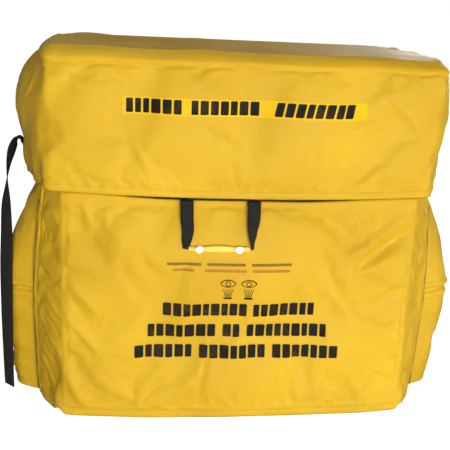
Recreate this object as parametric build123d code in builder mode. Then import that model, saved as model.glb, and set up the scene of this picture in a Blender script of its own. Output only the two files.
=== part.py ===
# Portable gravity-fed emergency eyewash station in its fitted, foam-lined vinyl jacket.
# A moulded housing stands on four rubber feet. Two saline cartridges sit on its deck, under a
# rigid cover and a soft hood that lift off together. The front door drops forward on the water
# manifold, which is also its pivot, and brings two capped nozzles out over the basin.
# Millimetres, +Z up, front at -Y, origin on the floor under the middle of the object.
from build123d import *

import os
from math import cos, radians, sin, tan

# --- overall -----------------------------------------------------------------------------------
overall_height = 570.0
overall_depth = 400.0
front_y = -overall_depth / 2
back_y = overall_depth / 2

# --- material thicknesses and clearances ---------------------------------------------------------
fabric = 6.0  # padded vinyl of the lower jacket
hood_fabric = 8.0  # padded vinyl of the hood
webbing_thick = 1.6
slip = 2.0  # air between the jacket and the housing
wall = 4.0  # moulded housing
plate = 3.0  # door tray, cartridge cover and basin
seat_gap = 0.5  # between a soft piece and the rigid one that it covers
touch = 0.3  # between pieces that only rest against each other
running = 0.08  # radial clearance of a turning fit
past = 2.0  # how far a cutting shape runs past the face that it opens

# --- heights ---------------------------------------------------------------------------------------
foot_height = 10.0
pan_thick = 6.0
pan_top = foot_height + pan_thick
hem_z = 5.0  # lower edge of the jacket
flap_hem_z = 8.0  # lower edge of the door, which swings past the pivot
belly_z = 186.0  # side seam, where the body is widest
yoke_z = 320.0  # above this the back leans in under the hood
hood_hem_z = 358.0
collar_z = hood_hem_z + 8  # upper edge of the lower jacket, hidden in the hood
door_top_z = hood_hem_z - 8
deck_thick = 4.0
deck_top = hood_hem_z - 8
deck_z = deck_top - deck_thick
rim_z = deck_z - 6  # underside of the housing's rim, which carries the deck

# --- cartridges, which set the width of everything around them ---------------------------------------
cartridge_width, cartridge_gap = 270.0, 6.0
vent_cap_r, vent_cap_height, vent_y = 19.0, 12.0, 100.0
cover_half = cartridge_gap / 2 + cartridge_width + 8 + plate
hose_x = cartridge_gap / 2 + cartridge_width - 24

# --- plan of the lower jacket: half widths at each height ------------------------------------------
block_width = 26.0
block_x = hose_x - block_width / 2
crease_half = hose_x + block_width / 2 + 8  # front corners of the door
base_half, belly_half, collar_half = 362.0, 372.0, cover_half + 24
yoke_half = belly_half + (collar_half - belly_half) * (yoke_z - belly_z) / (collar_z - belly_z)
flange_y = front_y + 82  # front edge of the side panels, behind the door's side bands
side_front_y = flange_y + 18  # front corner of each side panel
rear_corner = 30.0
body_levels = [  # height, half width at the flange, half width at the side, back
    (hem_z, crease_half + 50, base_half, back_y),
    (belly_z, crease_half + 52, belly_half, back_y),
    (yoke_z, crease_half + 38, yoke_half, back_y),
    (collar_z, crease_half + 30, collar_half, back_y - 18),
]
flange_keep = crease_half + 28  # the side panels end here, tucked behind the door's bands
panel_seam_y = back_y - rear_corner  # side panels are sewn to the back panel here
shell_back_y = back_y - fabric - slip

# --- door: crease half width, band half width and front at each height -----------------------------
band_y = flange_y - 6  # rear edge of the side bands
door_lean = 28.0  # the top of the door stands this far behind its foot
lean_slope = door_lean / (door_top_z - hem_z)
door_levels = [
    (hem_z, crease_half, crease_half + 50, front_y),
    (belly_z, crease_half, crease_half + 52, front_y + lean_slope * (belly_z - hem_z)),
    (door_top_z, crease_half, crease_half + 36, front_y + door_lean),
]
tray_bottom_z, tray_top_z = 38.0, door_top_z - 8
tray_inset = fabric + seat_gap
tray_back_y = band_y - tray_inset
band_return = 10.0  # width of the folded hem behind each band
catch_x, catch_half, strike_thick, strike_height = 150.0, 15.0, 4.0, 15.0
catch_front_y, catch_bottom_z = tray_back_y + strike_thick + touch, tray_top_z - strike_height

# --- pivot, manifold and nozzles -------------------------------------------------------------------
pivot_y, pivot_z = front_y + fabric + 10, 28.0
pipe_r, riser_r = 5.5, 4.5
nose_r = 7.6  # round end of each pivot block
skirt_reach = ((pivot_y - front_y) ** 2 + (pivot_z - flap_hem_z) ** 2) ** 0.5
pan_front_y = pivot_y + skirt_reach + 1.0  # the door's lower edge swings in front of the pan
block_back_y = pan_front_y + 22
arm_drop = 4.0
journal_depth = 16.0
barb_r, barb_length = 4.6, 15.0
barb_z = pivot_z
saddle_half = 12.0
nozzle_x, nozzle_z = 62.0, 200.0
header_y = front_y + 40
nozzle_length, nozzle_rim_r, nozzle_neck_r = 38.0, 19.0, 8.0
nozzle_mouth_y = header_y + 4 + nozzle_length
cap_thick, cap_r = 5.0, 21.0
cap_pin_r, cap_knuckle_r = 1.5, 3.0
cap_pin_y, cap_pin_z = nozzle_mouth_y - 3, nozzle_z - nozzle_rim_r - 5.5
ear_thick, ear_gap = 2.5, 7.0

# --- hoses and basin -------------------------------------------------------------------------------
hose_y = side_front_y + 24
hose_bore_r = barb_r + 0.1
hose_r = hose_bore_r + 1.3
hose_bend = 42.0
clamp_width, clamp_r = 6.0, hose_r + 1.5
spout_r, spout_length = 10.0, 16.0
deck_hole_r = spout_r + 3
basin_half, basin_front_y, basin_back_y = hose_x - 34, side_front_y, back_y - 28
basin_top_z, basin_corner_r = 118.0, 20.0
drain_z, drain_r, drain_bore_r = 50.0, 12.0, 9.0
cap_grip_r = 20.0

# --- alarm -----------------------------------------------------------------------------------------
alarm_x, alarm_half, alarm_depth = 200.0, 30.0, 44.0
alarm_front_y, alarm_bottom_z = flange_y + 28, deck_z - 44
alarm_mid_z = (alarm_bottom_z + deck_z) / 2
button_x, button_r, button_travel = alarm_x + 18, 6.0, 3.0
button_seat_y = alarm_front_y + 8
sounder_x, sounder_r = alarm_x - 10, 14.0

# --- hood: height, front half width, front, side half width, side front, side back, back half, back
hood_front_y, hood_back_y = front_y + 18, back_y - 2
shoulder_z = overall_height - 17  # crease of the rolled top edge
hood_levels = [
    (hood_hem_z, cover_half + 6, hood_front_y, cover_half + 48, front_y + 130, back_y - 50, cover_half + 28,
     hood_back_y),
    (470.0, cover_half + 8, hood_front_y + 2, cover_half + 62, front_y + 150, back_y - 50, cover_half + 34,
     hood_back_y),
    (shoulder_z, cover_half + 6, hood_front_y + 4, cover_half + 22, front_y + 110, back_y - 80, cover_half + 16,
     hood_back_y - 8),
    (overall_height, cover_half - 4, hood_front_y + 22, cover_half + 6, front_y + 110, back_y - 90, cover_half,
     hood_back_y - 26),
]
pad_height = 10.0
cover_front_y, cover_back_y = hood_front_y + 18, hood_back_y - 28
cover_top_z = overall_height - hood_fabric - pad_height
cover_radius, cover_edge_radius = 24.0, 6.0
cartridge_front_y = side_front_y - 4
cartridge_depth = cover_back_y - plate - 7 - cartridge_front_y
cartridge_height = cover_top_z - plate - 1 - vent_cap_height - deck_top

# --- handle and side straps ------------------------------------------------------------------------
handle_x, handle_span = -35.0, 101.0  # middle of the handle, and between its two legs
leg_width = 20.0
handle_pivot_y, handle_pivot_z = front_y + 19, door_top_z - 3
anchor_bottom_z, anchor_top_z = handle_pivot_z - 3, handle_pivot_z + 7
grip_z, grip_y = handle_pivot_z - 66, front_y + 12
grip_height, grip_thick = 14.0, 9.0
core_height, core_thick = 10.0, 3.2
snap_offset, snap_r, snap_thick = 30.5, 5.0, 1.6
strap_width = 25.0
strap_x = belly_half + 6
strap_arch_z, strap_arch_radius = hood_hem_z + 63, 8.0
strap_bends = [40.0, 60.0, 60.0, 60.0, strap_arch_radius, 4.0]  # from the foot to the patch
strap_top_y, strap_foot_y, strap_foot_z = -42.0, -92.0, 8.0
patch_bottom_z, patch_top_z, patch_width, patch_thick = hood_hem_z + 4, hood_hem_z + 26, 40.0, 1.4

# --- mounts and fasteners --------------------------------------------------------------------------
insert_spacing_x, insert_spacing_z, insert_mid_z = 360.0, 180.0, 200.0
insert_r, insert_bore_r, insert_length = 7.0, 3.4, 16.0
grommet_r, grommet_bore_r = 14.0, 9.0
screw_r, screw_head_r, screw_head = 2.0, 4.2, 2.6
screw_inset = 17.0  # from the shell's side
screw_ys = (flange_y + 48, back_y - 160, back_y - 50)
foot_r = 16.0
insert_spots = [
    (x, insert_mid_z + z)
    for x in (-insert_spacing_x / 2, insert_spacing_x / 2)
    for z in (-insert_spacing_z / 2, insert_spacing_z / 2)
]


def level_at(levels, z):
    """The outline values at height z, between the two levels around it."""
    for low, high in zip(levels, levels[1:]):
        if z <= high[0]:
            break
    share = (z - low[0]) / (high[0] - low[0])
    return tuple(a + (b - a) * share for a, b in zip(low, high))


def bends_within(points, radii):
    """The radii of a route's bends, each no larger than its two runs have room for."""
    points = [Vector(*p) for p in points]
    runs = [b - a for a, b in zip(points, points[1:])]
    slopes = [tan(radians(a.get_angle(b)) / 2) for a, b in zip(runs, runs[1:])]
    radii = list(radii)
    for i, run in enumerate(runs):
        ends = [k for k in (i - 1, i) if 0 <= k < len(radii)]
        taken = sum(radii[k] * slopes[k] for k in ends)
        if taken > 0.95 * run.length:
            for k in ends:
                radii[k] *= 0.95 * run.length / taken
    return radii


def between(levels, bottom, top):
    """The levels from bottom to top, with the two ends worked out."""
    middle = [level[0] for level in levels if bottom < level[0] < top]
    return [level_at(levels, z) for z in [bottom, *middle, top]]


def run_past(levels, down, up):
    """The same levels with the lowest moved down and the highest moved up."""
    first, *middle, last = levels
    return [(first[0] - down, *first[1:]), *middle, (last[0] + up, *last[1:])]


def body_outline(flange, side, back):
    """Plan of the housing and its jacket, anticlockwise from the front left."""
    right = [
        (flange, flange_y),
        (side, side_front_y),
        (side, back - rear_corner / 2),
        (side - rear_corner, back),
    ]
    return [*right, *[(-x, y) for x, y in reversed(right)]]


def door_outline(crease, band, front):
    """Plan of the door: a front panel and two bands that spread towards the back."""
    return [(crease, front), (band, band_y), (-band, band_y), (-crease, front)]


def hood_outline(front_half, front, side, side_front, side_back, back_half, back):
    """Plan of the hood, which swells at its sides."""
    right = [(front_half, front), (side, side_front), (side, side_back), (back_half, back)]
    return [*right, *[(-x, y) for x, y in reversed(right)]]


def loft_levels(levels, outline, inset=0.0, mode=Mode.ADD):
    """Lofts an outline up through its levels, pulled in by inset all round."""
    sections = []
    for level in levels:
        with BuildSketch(Plane.XY.offset(level[0])) as section:
            with BuildLine():
                Polyline(*outline(*level[1:]), close=True)
            make_face()
            if inset:
                offset(amount=-inset, kind=Kind.INTERSECTION, mode=Mode.REPLACE)
        sections.append(section.sketch)
    loft(sections, ruled=True, mode=mode)


def block(x0, x1, y0, y1, z0, z1, mode=Mode.ADD):
    """A box between two corners."""
    with Locations(((x0 + x1) / 2, (y0 + y1) / 2, (z0 + z1) / 2)):
        Box(x1 - x0, y1 - y0, z1 - z0, mode=mode)


def rod_x(x0, x1, y, z, radius, mode=Mode.ADD):
    """A round bar along X."""
    with Locations(Location(((x0 + x1) / 2, y, z), (0, 90, 0))):
        Cylinder(radius, abs(x1 - x0), mode=mode)


def rod_y(x, y0, y1, z, radius, mode=Mode.ADD):
    """A round bar along Y."""
    with Locations(Location((x, (y0 + y1) / 2, z), (90, 0, 0))):
        Cylinder(radius, abs(y1 - y0), mode=mode)


def rod_z(x, y, z0, z1, radius, mode=Mode.ADD):
    """A round bar along Z."""
    with Locations((x, y, (z0 + z1) / 2)):
        Cylinder(radius, abs(z1 - z0), mode=mode)


def save(piece, name):
    """Labels a finished piece and writes its STEP file."""
    piece.part.label = name
    export_step(piece.part, f"parts/{name}.step")


os.makedirs("parts", exist_ok=True)
sides = {"left": -1, "right": 1}
inset_shell = fabric + slip

# === housing =======================================================================================
with BuildPart() as housing_shell:
    loft_levels(between(body_levels, pan_top, deck_z), body_outline, inset_shell)
    inside = run_past(between(body_levels, pan_top, rim_z), past, 0)
    loft_levels(inside, body_outline, inset_shell + wall, Mode.SUBTRACT)
    rim = run_past(between(body_levels, rim_z, deck_z), past, past)
    loft_levels(rim, body_outline, inset_shell + wall + 14, Mode.SUBTRACT)
    doorway_half = crease_half + 20
    block(-doorway_half, doorway_half, flange_y, side_front_y + 10, pan_top - past, rim_z, Mode.SUBTRACT)
    rod_y(0, basin_back_y, back_y, drain_z, drain_r + seat_gap, Mode.SUBTRACT)
    for x, z in insert_spots:
        rod_y(x, shell_back_y - 2 * wall, back_y, z, insert_r, Mode.SUBTRACT)
save(housing_shell, "housing_shell")

with BuildPart() as base_pan:
    loft_levels(between(body_levels, foot_height, pan_top), body_outline, inset_shell)
    pan_half = block_x + block_width
    block(-pan_half, pan_half, pan_front_y, side_front_y, foot_height, pan_top)
save(base_pan, "base_pan")

front_foot_y, rear_foot_y = pan_front_y + foot_r + past, back_y - 50
foot_spots = [(side * (hose_x - 29), front_foot_y) for side in sides.values()]
foot_spots += [(side * (base_half - 62), rear_foot_y) for side in sides.values()]
with BuildPart() as feet:
    for x, y in foot_spots:
        with BuildSketch() as sole:
            with Locations((x, y)):
                Circle(foot_r)
        extrude(amount=foot_height, taper=6)
save(feet, "feet")

screw_x = level_at(body_levels, deck_z)[2] - inset_shell - screw_inset
screw_spots = [(side * screw_x, y) for side in sides.values() for y in screw_ys]
screw_spots += [(-90, back_y - 26), (90, back_y - 26)]
with BuildPart() as cartridge_deck:
    loft_levels(between(body_levels, deck_z, deck_top), body_outline, inset_shell)
    for side in sides.values():
        rod_z(side * hose_x, hose_y, deck_z - past, deck_top + past, deck_hole_r, Mode.SUBTRACT)
    with Locations([(x, y, deck_top) for x, y in screw_spots]):
        Hole(screw_r + 0.2, depth=deck_thick + past)
save(cartridge_deck, "cartridge_deck")

with BuildPart() as deck_screws:
    with Locations([(x, y, deck_top + screw_head / 2) for x, y in screw_spots]):
        Cylinder(screw_head_r, screw_head)
    with Locations([(x, y, deck_top - deck_thick / 2) for x, y in screw_spots]):
        Cylinder(screw_r, deck_thick)
save(deck_screws, "deck_screws")

with BuildPart() as cover_rails:
    for side in sides.values():
        rail = sorted((side * (cover_half - 8), side * cover_half))
        for y0, y1 in zip(screw_ys, screw_ys[1:]):
            block(*rail, y0 + 16, y1 - 16, deck_top, hood_hem_z)
save(cover_rails, "cover_rails")

with BuildPart() as wash_basin:
    block(-basin_half, basin_half, basin_front_y, basin_back_y, pan_top, basin_top_z)
    fillet(wash_basin.edges().filter_by(Axis.Z), basin_corner_r)
    offset(amount=-plate, openings=wash_basin.faces().sort_by(Axis.Z)[-1])
    rod_y(0, basin_back_y - 2 * plate, basin_back_y + past, drain_z, drain_bore_r, Mode.SUBTRACT)
save(wash_basin, "wash_basin")

spigot_end_y = shell_back_y + 1.0
with BuildPart() as drain_spigot:
    rod_y(0, basin_back_y, spigot_end_y, drain_z, drain_r)
    rod_y(0, basin_back_y - past, spigot_end_y + past, drain_z, drain_bore_r, Mode.SUBTRACT)
save(drain_spigot, "drain_spigot")

cap_face_y = spigot_end_y + touch
with BuildPart() as drain_cap:
    rod_y(0, cap_face_y, cap_face_y + 5.5, drain_z, cap_grip_r)
    flutes = 16
    for i in range(flutes):
        turn = radians(360 * i / flutes)
        x, z = cap_grip_r * cos(turn), drain_z + cap_grip_r * sin(turn)
        rod_y(x, cap_face_y - 1, cap_face_y + 7, z, 1.6, Mode.SUBTRACT)
    rod_y(0, cap_face_y - 8, cap_face_y, drain_z, drain_bore_r - running)
save(drain_cap, "drain_cap")

with BuildPart() as wall_inserts:
    for x, z in insert_spots:
        rod_y(x, shell_back_y - insert_length, shell_back_y, z, insert_r)
        rod_y(x, shell_back_y - insert_length - past, shell_back_y + past, z, insert_bore_r, Mode.SUBTRACT)
save(wall_inserts, "wall_inserts")

with BuildPart() as magnet_catches:
    for x in (-catch_x, catch_x):
        block(x - catch_half, x + catch_half, catch_front_y, flange_y + 22, catch_bottom_z, rim_z)
save(magnet_catches, "magnet_catches")

# === cartridges and feed ===========================================================================
for name, side in sides.items():
    x0, x1 = sorted((side * cartridge_gap / 2, side * (cartridge_gap / 2 + cartridge_width)))
    middle_x = (x0 + x1) / 2
    back = cartridge_front_y + cartridge_depth
    with BuildPart() as cartridge:
        block(x0, x1, cartridge_front_y, back, deck_top, deck_top + cartridge_height)
        fillet(cartridge.edges().filter_by(Axis.Z), 28)
        fillet(cartridge.faces().sort_by(Axis.Z)[-1].edges(), 10)
        with BuildSketch(Plane.XZ.offset(-cartridge_front_y)):
            with Locations((middle_x, deck_top + cartridge_height * 0.62)):
                SlotOverall(110, 34)
        extrude(amount=-9, mode=Mode.SUBTRACT)
    save(cartridge, f"cartridge_{name}")

    with BuildPart() as vent_cap:
        cartridge_top = deck_top + cartridge_height
        rod_z(middle_x, vent_y, cartridge_top, cartridge_top + vent_cap_height, vent_cap_r)
        chamfer(vent_cap.faces().sort_by(Axis.Z)[-1].edges(), 2)
    save(vent_cap, f"vent_cap_{name}")

    barb_tip_z = deck_top - spout_length - barb_length
    with BuildPart() as spout:
        rod_z(side * hose_x, hose_y, deck_top - spout_length, deck_top, spout_r)
        rod_z(side * hose_x, hose_y, barb_tip_z, deck_top - spout_length, barb_r)
        rod_z(side * hose_x, hose_y, barb_tip_z - past, deck_top, hose_bore_r - 1.7, Mode.SUBTRACT)
    save(spout, f"spout_{name}")

    hose_top_z = deck_top - spout_length - seat_gap
    with BuildPart() as feed_hose:
        with BuildLine() as route:
            FilletPolyline(
                (side * hose_x, block_back_y + seat_gap, barb_z),
                (side * hose_x, hose_y, barb_z),
                (side * hose_x, hose_y, hose_top_z),
                radius=hose_bend,
            )
        with BuildSketch(Plane(route.line @ 0, z_dir=route.line % 0)):
            Circle(hose_r)
            Circle(hose_bore_r, mode=Mode.SUBTRACT)
        sweep(path=route.line)
    save(feed_hose, f"feed_hose_{name}")

    with BuildPart() as pivot_block:
        inner, outer = side * block_x, side * (block_x + block_width)
        x0, x1 = sorted((inner, outer))
        rod_x(x0, x1, pivot_y, pivot_z, nose_r)
        block(x0, x1, pivot_y, block_back_y, pivot_z - arm_drop, pivot_z + nose_r)
        block(x0, x1, pan_front_y, block_back_y, pan_top, pivot_z + nose_r)
        rod_x(inner - side * past, inner + side * journal_depth, pivot_y, pivot_z, pipe_r + running, Mode.SUBTRACT)
        rod_y(side * hose_x, block_back_y, block_back_y + barb_length, barb_z, barb_r)
    save(pivot_block, f"pivot_block_{name}")

with BuildPart() as hose_clamps:
    for side in sides.values():
        x, upper_z, lower_y = side * hose_x, hose_top_z - 11, block_back_y + 5
        rod_z(x, hose_y, upper_z, upper_z + clamp_width, clamp_r)
        rod_z(x, hose_y, upper_z - 1, upper_z + clamp_width + 1, hose_r + 0.02, Mode.SUBTRACT)
        rod_y(x, lower_y, lower_y + clamp_width, barb_z, clamp_r)
        rod_y(x, lower_y - 1, lower_y + clamp_width + 1, barb_z, hose_r + 0.02, Mode.SUBTRACT)
save(hose_clamps, "hose_clamps")

# === alarm =========================================================================================
with BuildPart() as alarm_box:
    alarm_back_y = alarm_front_y + alarm_depth
    block(alarm_x - alarm_half, alarm_x + alarm_half, alarm_front_y, alarm_back_y, alarm_bottom_z, deck_z)
    fillet(alarm_box.edges().filter_by(Axis.Y).group_by(Axis.Z)[0], 4)
    rod_y(button_x, alarm_front_y - past, button_seat_y, alarm_mid_z, button_r + 0.2, Mode.SUBTRACT)
    rod_y(sounder_x, alarm_front_y - past, alarm_front_y + 3, alarm_mid_z, sounder_r, Mode.SUBTRACT)
save(alarm_box, "alarm_box")

with BuildPart() as sounder:
    rod_y(sounder_x, alarm_front_y + 0.5, alarm_front_y + 3, alarm_mid_z, sounder_r - 0.1)
    for ring in (4, 8, 11.5):
        holes = int(ring * 2)
        for i in range(holes):
            turn = radians(360 * i / holes)
            x, z = sounder_x + ring * cos(turn), alarm_mid_z + ring * sin(turn)
            rod_y(x, alarm_front_y, alarm_front_y + 2.2, z, 0.9, Mode.SUBTRACT)
save(sounder, "alarm_sounder")

with BuildPart() as alarm_button:
    button_back_y = button_seat_y - button_travel - touch
    rod_y(button_x, alarm_front_y - button_travel - 1, button_back_y, alarm_mid_z, button_r)
    fillet(alarm_button.edges().sort_by(Axis.Y)[0], 1)
save(alarm_button, "alarm_button")

# === lower jacket ==================================================================================
with BuildPart() as lower_jacket:
    loft_levels(body_levels, body_outline)
    loft_levels(run_past(body_levels, past, past), body_outline, fabric, Mode.SUBTRACT)
    block(-flange_keep, flange_keep, flange_y - past, side_front_y + 10, 0, collar_z + past, Mode.SUBTRACT)
    rod_y(0, back_y - 2 * fabric, back_y + past, drain_z, cap_grip_r + 8, Mode.SUBTRACT)
    for x, z in insert_spots:
        rod_y(x, back_y - 2 * fabric, back_y + past, z, grommet_bore_r + 1.5, Mode.SUBTRACT)

reach = belly_half + past
with BuildPart() as back_panel:
    add(lower_jacket.part)
    block(-reach, reach, flange_y - past, panel_seam_y, 0, overall_height, Mode.SUBTRACT)
save(back_panel, "back_panel")

for name, side in sides.items():
    with BuildPart() as side_panel:
        add(lower_jacket.part)
        block(-reach, reach, panel_seam_y, back_y + past, 0, overall_height, Mode.SUBTRACT)
        split(bisect_by=Plane.YZ, keep=Keep.TOP if side > 0 else Keep.BOTTOM)
    save(side_panel, f"side_panel_{name}")

with BuildPart() as grommets:
    for x, z in insert_spots:
        rod_y(x, shell_back_y + touch, back_y, z, grommet_bore_r + 1.3)
        rod_y(x, shell_back_y + touch, back_y - fabric - 0.1, z, grommet_r)
        rod_y(x, shell_back_y - past, back_y + past, z, grommet_bore_r, Mode.SUBTRACT)
save(grommets, "back_grommets")

# === door ==========================================================================================
with BuildPart() as front_flap:
    flap_levels = between(door_levels, flap_hem_z, door_top_z)
    loft_levels(flap_levels, door_outline)
    loft_levels(run_past(flap_levels, past, past), door_outline, fabric, Mode.SUBTRACT)
    rear_half = door_levels[-1][2] - fabric - band_return
    block(-rear_half, rear_half, band_y - 2 * fabric, band_y + past, 0, door_top_z + past, Mode.SUBTRACT)
save(front_flap, "front_flap")

with BuildPart() as door_tray:
    loft_levels(between(door_levels, tray_bottom_z, tray_top_z), door_outline, tray_inset)
    hollow = run_past(between(door_levels, tray_bottom_z, tray_top_z - plate), past, 0)
    loft_levels(hollow, door_outline, tray_inset + plate, Mode.SUBTRACT)
    tray_half = rear_half - 6
    block(-tray_half, tray_half, band_y - 14, band_y, tray_bottom_z - past, tray_top_z - plate, Mode.SUBTRACT)
save(door_tray, "door_tray")

with BuildPart() as strike_plates:
    for x in (-catch_x, catch_x):
        strike = (x - catch_half, x + catch_half, tray_back_y, tray_back_y + strike_thick)
        block(*strike, catch_bottom_z, tray_top_z)
save(strike_plates, "strike_plates")

with BuildPart() as manifold:
    pipe_half = block_x + journal_depth - 1
    rod_x(-pipe_half, pipe_half, pivot_y, pivot_z, pipe_r)
    with BuildSketch(Plane((0, pivot_y, pivot_z), z_dir=(0, header_y - pivot_y, nozzle_z - pivot_z))):
        Circle(riser_r)
    extrude(amount=Vector(0, header_y - pivot_y, nozzle_z - pivot_z).length)
    rod_x(-nozzle_x, nozzle_x, header_y, nozzle_z, riser_r)
    for side in sides.values():
        with Locations((side * nozzle_x, header_y, nozzle_z)):
            Sphere(riser_r + 1.5)
        rod_y(side * nozzle_x, header_y, header_y + 10, nozzle_z, riser_r)
save(manifold, "nozzle_manifold")

with BuildPart() as pipe_saddles:
    for x in (-catch_x, catch_x):
        saddle = (x - saddle_half, x + saddle_half, pivot_y - 5.8, pivot_y + 8)
        block(*saddle, pivot_z + pipe_r - 6, tray_bottom_z + 24)
        cut_y, cut = level_at(door_levels, tray_bottom_z)[3] + tray_inset + plate + touch, 40
        with BuildSketch(Plane.YZ.offset(x - saddle_half - past)):
            with BuildLine():
                Polyline(
                    (cut_y - lean_slope * cut, tray_bottom_z - cut),
                    (cut_y + lean_slope * cut, tray_bottom_z + cut),
                    (cut_y - cut, tray_bottom_z + cut),
                    (cut_y - cut, tray_bottom_z - cut),
                    close=True,
                )
            make_face()
        extrude(amount=2 * (saddle_half + past), mode=Mode.SUBTRACT)
        bore = (x - saddle_half - past, x + saddle_half + past)
        rod_x(*bore, pivot_y, pivot_z, pipe_r + 0.02, Mode.SUBTRACT)
save(pipe_saddles, "pipe_saddles")

for name, side in sides.items():
    x = side * nozzle_x
    neck_y = header_y + 10
    with BuildPart() as nozzle:
        with BuildSketch(Plane.XZ.offset(-neck_y)):
            with Locations((x, nozzle_z)):
                Circle(nozzle_neck_r)
        with BuildSketch(Plane.XZ.offset(-(nozzle_mouth_y - 8))):
            with Locations((x, nozzle_z)):
                Circle(nozzle_rim_r)
        loft()
        rod_y(x, nozzle_mouth_y - 8, nozzle_mouth_y, nozzle_z, nozzle_rim_r)
        rod_y(x, nozzle_mouth_y - 6, nozzle_mouth_y + past, nozzle_z, nozzle_rim_r - 3, Mode.SUBTRACT)
        rod_y(x, neck_y - past, nozzle_mouth_y, nozzle_z, 3.5, Mode.SUBTRACT)
        for ear in (-1, 1):
            ear_x0 = x + ear * ear_gap / 2
            ends = sorted((ear_x0, ear_x0 + ear * ear_thick))
            block(*ends, nozzle_mouth_y - 7, nozzle_mouth_y - 1, cap_pin_z, nozzle_z - nozzle_rim_r + 1)
            rod_x(*ends, cap_pin_y, cap_pin_z, cap_knuckle_r)
            rod_x(ends[0] - 1, ends[1] + 1, cap_pin_y, cap_pin_z, cap_pin_r + running, Mode.SUBTRACT)
    save(nozzle, f"nozzle_{name}")

    with BuildPart() as screen:
        rod_y(x, nozzle_mouth_y - 5.5, nozzle_mouth_y - 3.5, nozzle_z, nozzle_rim_r - 3.2)
        for ring, holes in ((5, 6), (9.5, 12)):
            for i in range(holes):
                turn = radians(360 * i / holes)
                hole_x, hole_z = x + ring * cos(turn), nozzle_z + ring * sin(turn)
                rod_y(hole_x, nozzle_mouth_y - 7, nozzle_mouth_y - 2, hole_z, 1.2, Mode.SUBTRACT)
    save(screen, f"nozzle_screen_{name}")

    with BuildPart() as flip_cap:
        cap_y = nozzle_mouth_y + 0.4
        rod_y(x, cap_y, cap_y + cap_thick, nozzle_z, cap_r)
        chamfer(flip_cap.faces().sort_by(Axis.Y)[-1].edges(), 1.2)
        tongue = ear_gap - 0.8
        block(x - tongue / 2, x + tongue / 2, cap_pin_y, cap_y + cap_thick - 2, cap_pin_z, nozzle_z - cap_r + 2)
        rod_x(x - tongue / 2, x + tongue / 2, cap_pin_y, cap_pin_z, cap_knuckle_r)
        rod_x(x - 5, x + 5, cap_pin_y, cap_pin_z, cap_pin_r + running, Mode.SUBTRACT)
    save(flip_cap, f"nozzle_cap_{name}")

with BuildPart() as cap_pins:
    for side in sides.values():
        half = ear_gap / 2 + ear_thick + 0.5
        rod_x(side * nozzle_x - half, side * nozzle_x + half, cap_pin_y, cap_pin_z, cap_pin_r)
save(cap_pins, "cap_pins")

# === pull handle ===================================================================================
leg_xs = (handle_x - handle_span / 2, handle_x + handle_span / 2)
with BuildPart() as handle_anchors:
    for x in leg_xs:
        anchor_back_y = level_at(door_levels, anchor_bottom_z)[3] - touch
        anchor = (x - leg_width / 2, x + leg_width / 2, handle_pivot_y - 0.5, anchor_back_y)
        block(*anchor, anchor_bottom_z, anchor_top_z)
save(handle_anchors, "handle_anchors")

with BuildPart() as handle_webbing:
    for x in leg_xs:
        with BuildSketch(Plane.XY.offset(anchor_bottom_z - seat_gap)):
            with Locations((x, handle_pivot_y)):
                Rectangle(leg_width, webbing_thick)
        with BuildSketch(Plane.XY.offset(grip_z - core_height / 2)):
            with Locations((x, grip_y)):
                Rectangle(leg_width * 0.6, core_thick)
        loft(ruled=True)
    half_thick, half_high = core_thick / 2, core_height / 2
    block(*leg_xs, grip_y - half_thick, grip_y + half_thick, grip_z - half_high, grip_z + half_high)
save(handle_webbing, "handle_webbing")

with BuildPart() as handle_grip:
    grip_ends = (leg_xs[0] + 8, leg_xs[1] - 8)
    half_thick, half_high = grip_thick / 2, grip_height / 2
    block(*grip_ends, grip_y - half_thick, grip_y + half_thick, grip_z - half_high, grip_z + half_high)
    fillet(handle_grip.edges().filter_by(Axis.X), 3.5)
    slot_y, slot_z = core_thick / 2 + 0.2, core_height / 2 + 0.2
    slot_ends = (grip_ends[0] - past, grip_ends[1] + past)
    block(*slot_ends, grip_y - slot_y, grip_y + slot_y, grip_z - slot_z, grip_z + slot_z, Mode.SUBTRACT)
save(handle_grip, "handle_grip")

with BuildPart() as grip_snaps:
    for x in (handle_x - snap_offset, handle_x + snap_offset):
        rod_y(x, grip_y - grip_thick / 2 - snap_thick, grip_y - grip_thick / 2, grip_z, snap_r)
save(grip_snaps, "grip_snaps")

# === hood ==========================================================================================
with BuildPart() as hood_cover:
    loft_levels(hood_levels, hood_outline)
    roof_z = overall_height - hood_fabric
    inside = run_past(between(hood_levels, hood_hem_z, roof_z), past, 0)
    loft_levels(inside, hood_outline, hood_fabric, Mode.SUBTRACT)
save(hood_cover, "hood_cover")

with BuildPart() as cartridge_cover:
    cover_mid_y, cover_depth = (cover_front_y + cover_back_y) / 2, cover_back_y - cover_front_y
    with BuildSketch(Plane.XY.offset(hood_hem_z)):
        with Locations((0, cover_mid_y)):
            RectangleRounded(2 * cover_half, cover_depth, cover_radius)
    extrude(amount=cover_top_z - hood_hem_z)
    fillet(cartridge_cover.faces().sort_by(Axis.Z)[-1].edges(), cover_edge_radius)
    with BuildSketch(Plane.XY.offset(hood_hem_z)):
        with Locations((0, cover_mid_y)):
            RectangleRounded(2 * (cover_half - plate), cover_depth - 2 * plate, cover_radius - plate)
    extrude(amount=cover_top_z - plate - hood_hem_z, mode=Mode.SUBTRACT)
save(cartridge_cover, "cartridge_cover")

with BuildPart() as hood_pad:
    pad_half, pad_end = cover_half - 34, 34
    pad_spread = (-pad_half, pad_half, cover_front_y + pad_end, cover_back_y - pad_end)
    block(*pad_spread, cover_top_z + touch, roof_z - touch)
save(hood_pad, "hood_pad")

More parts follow.
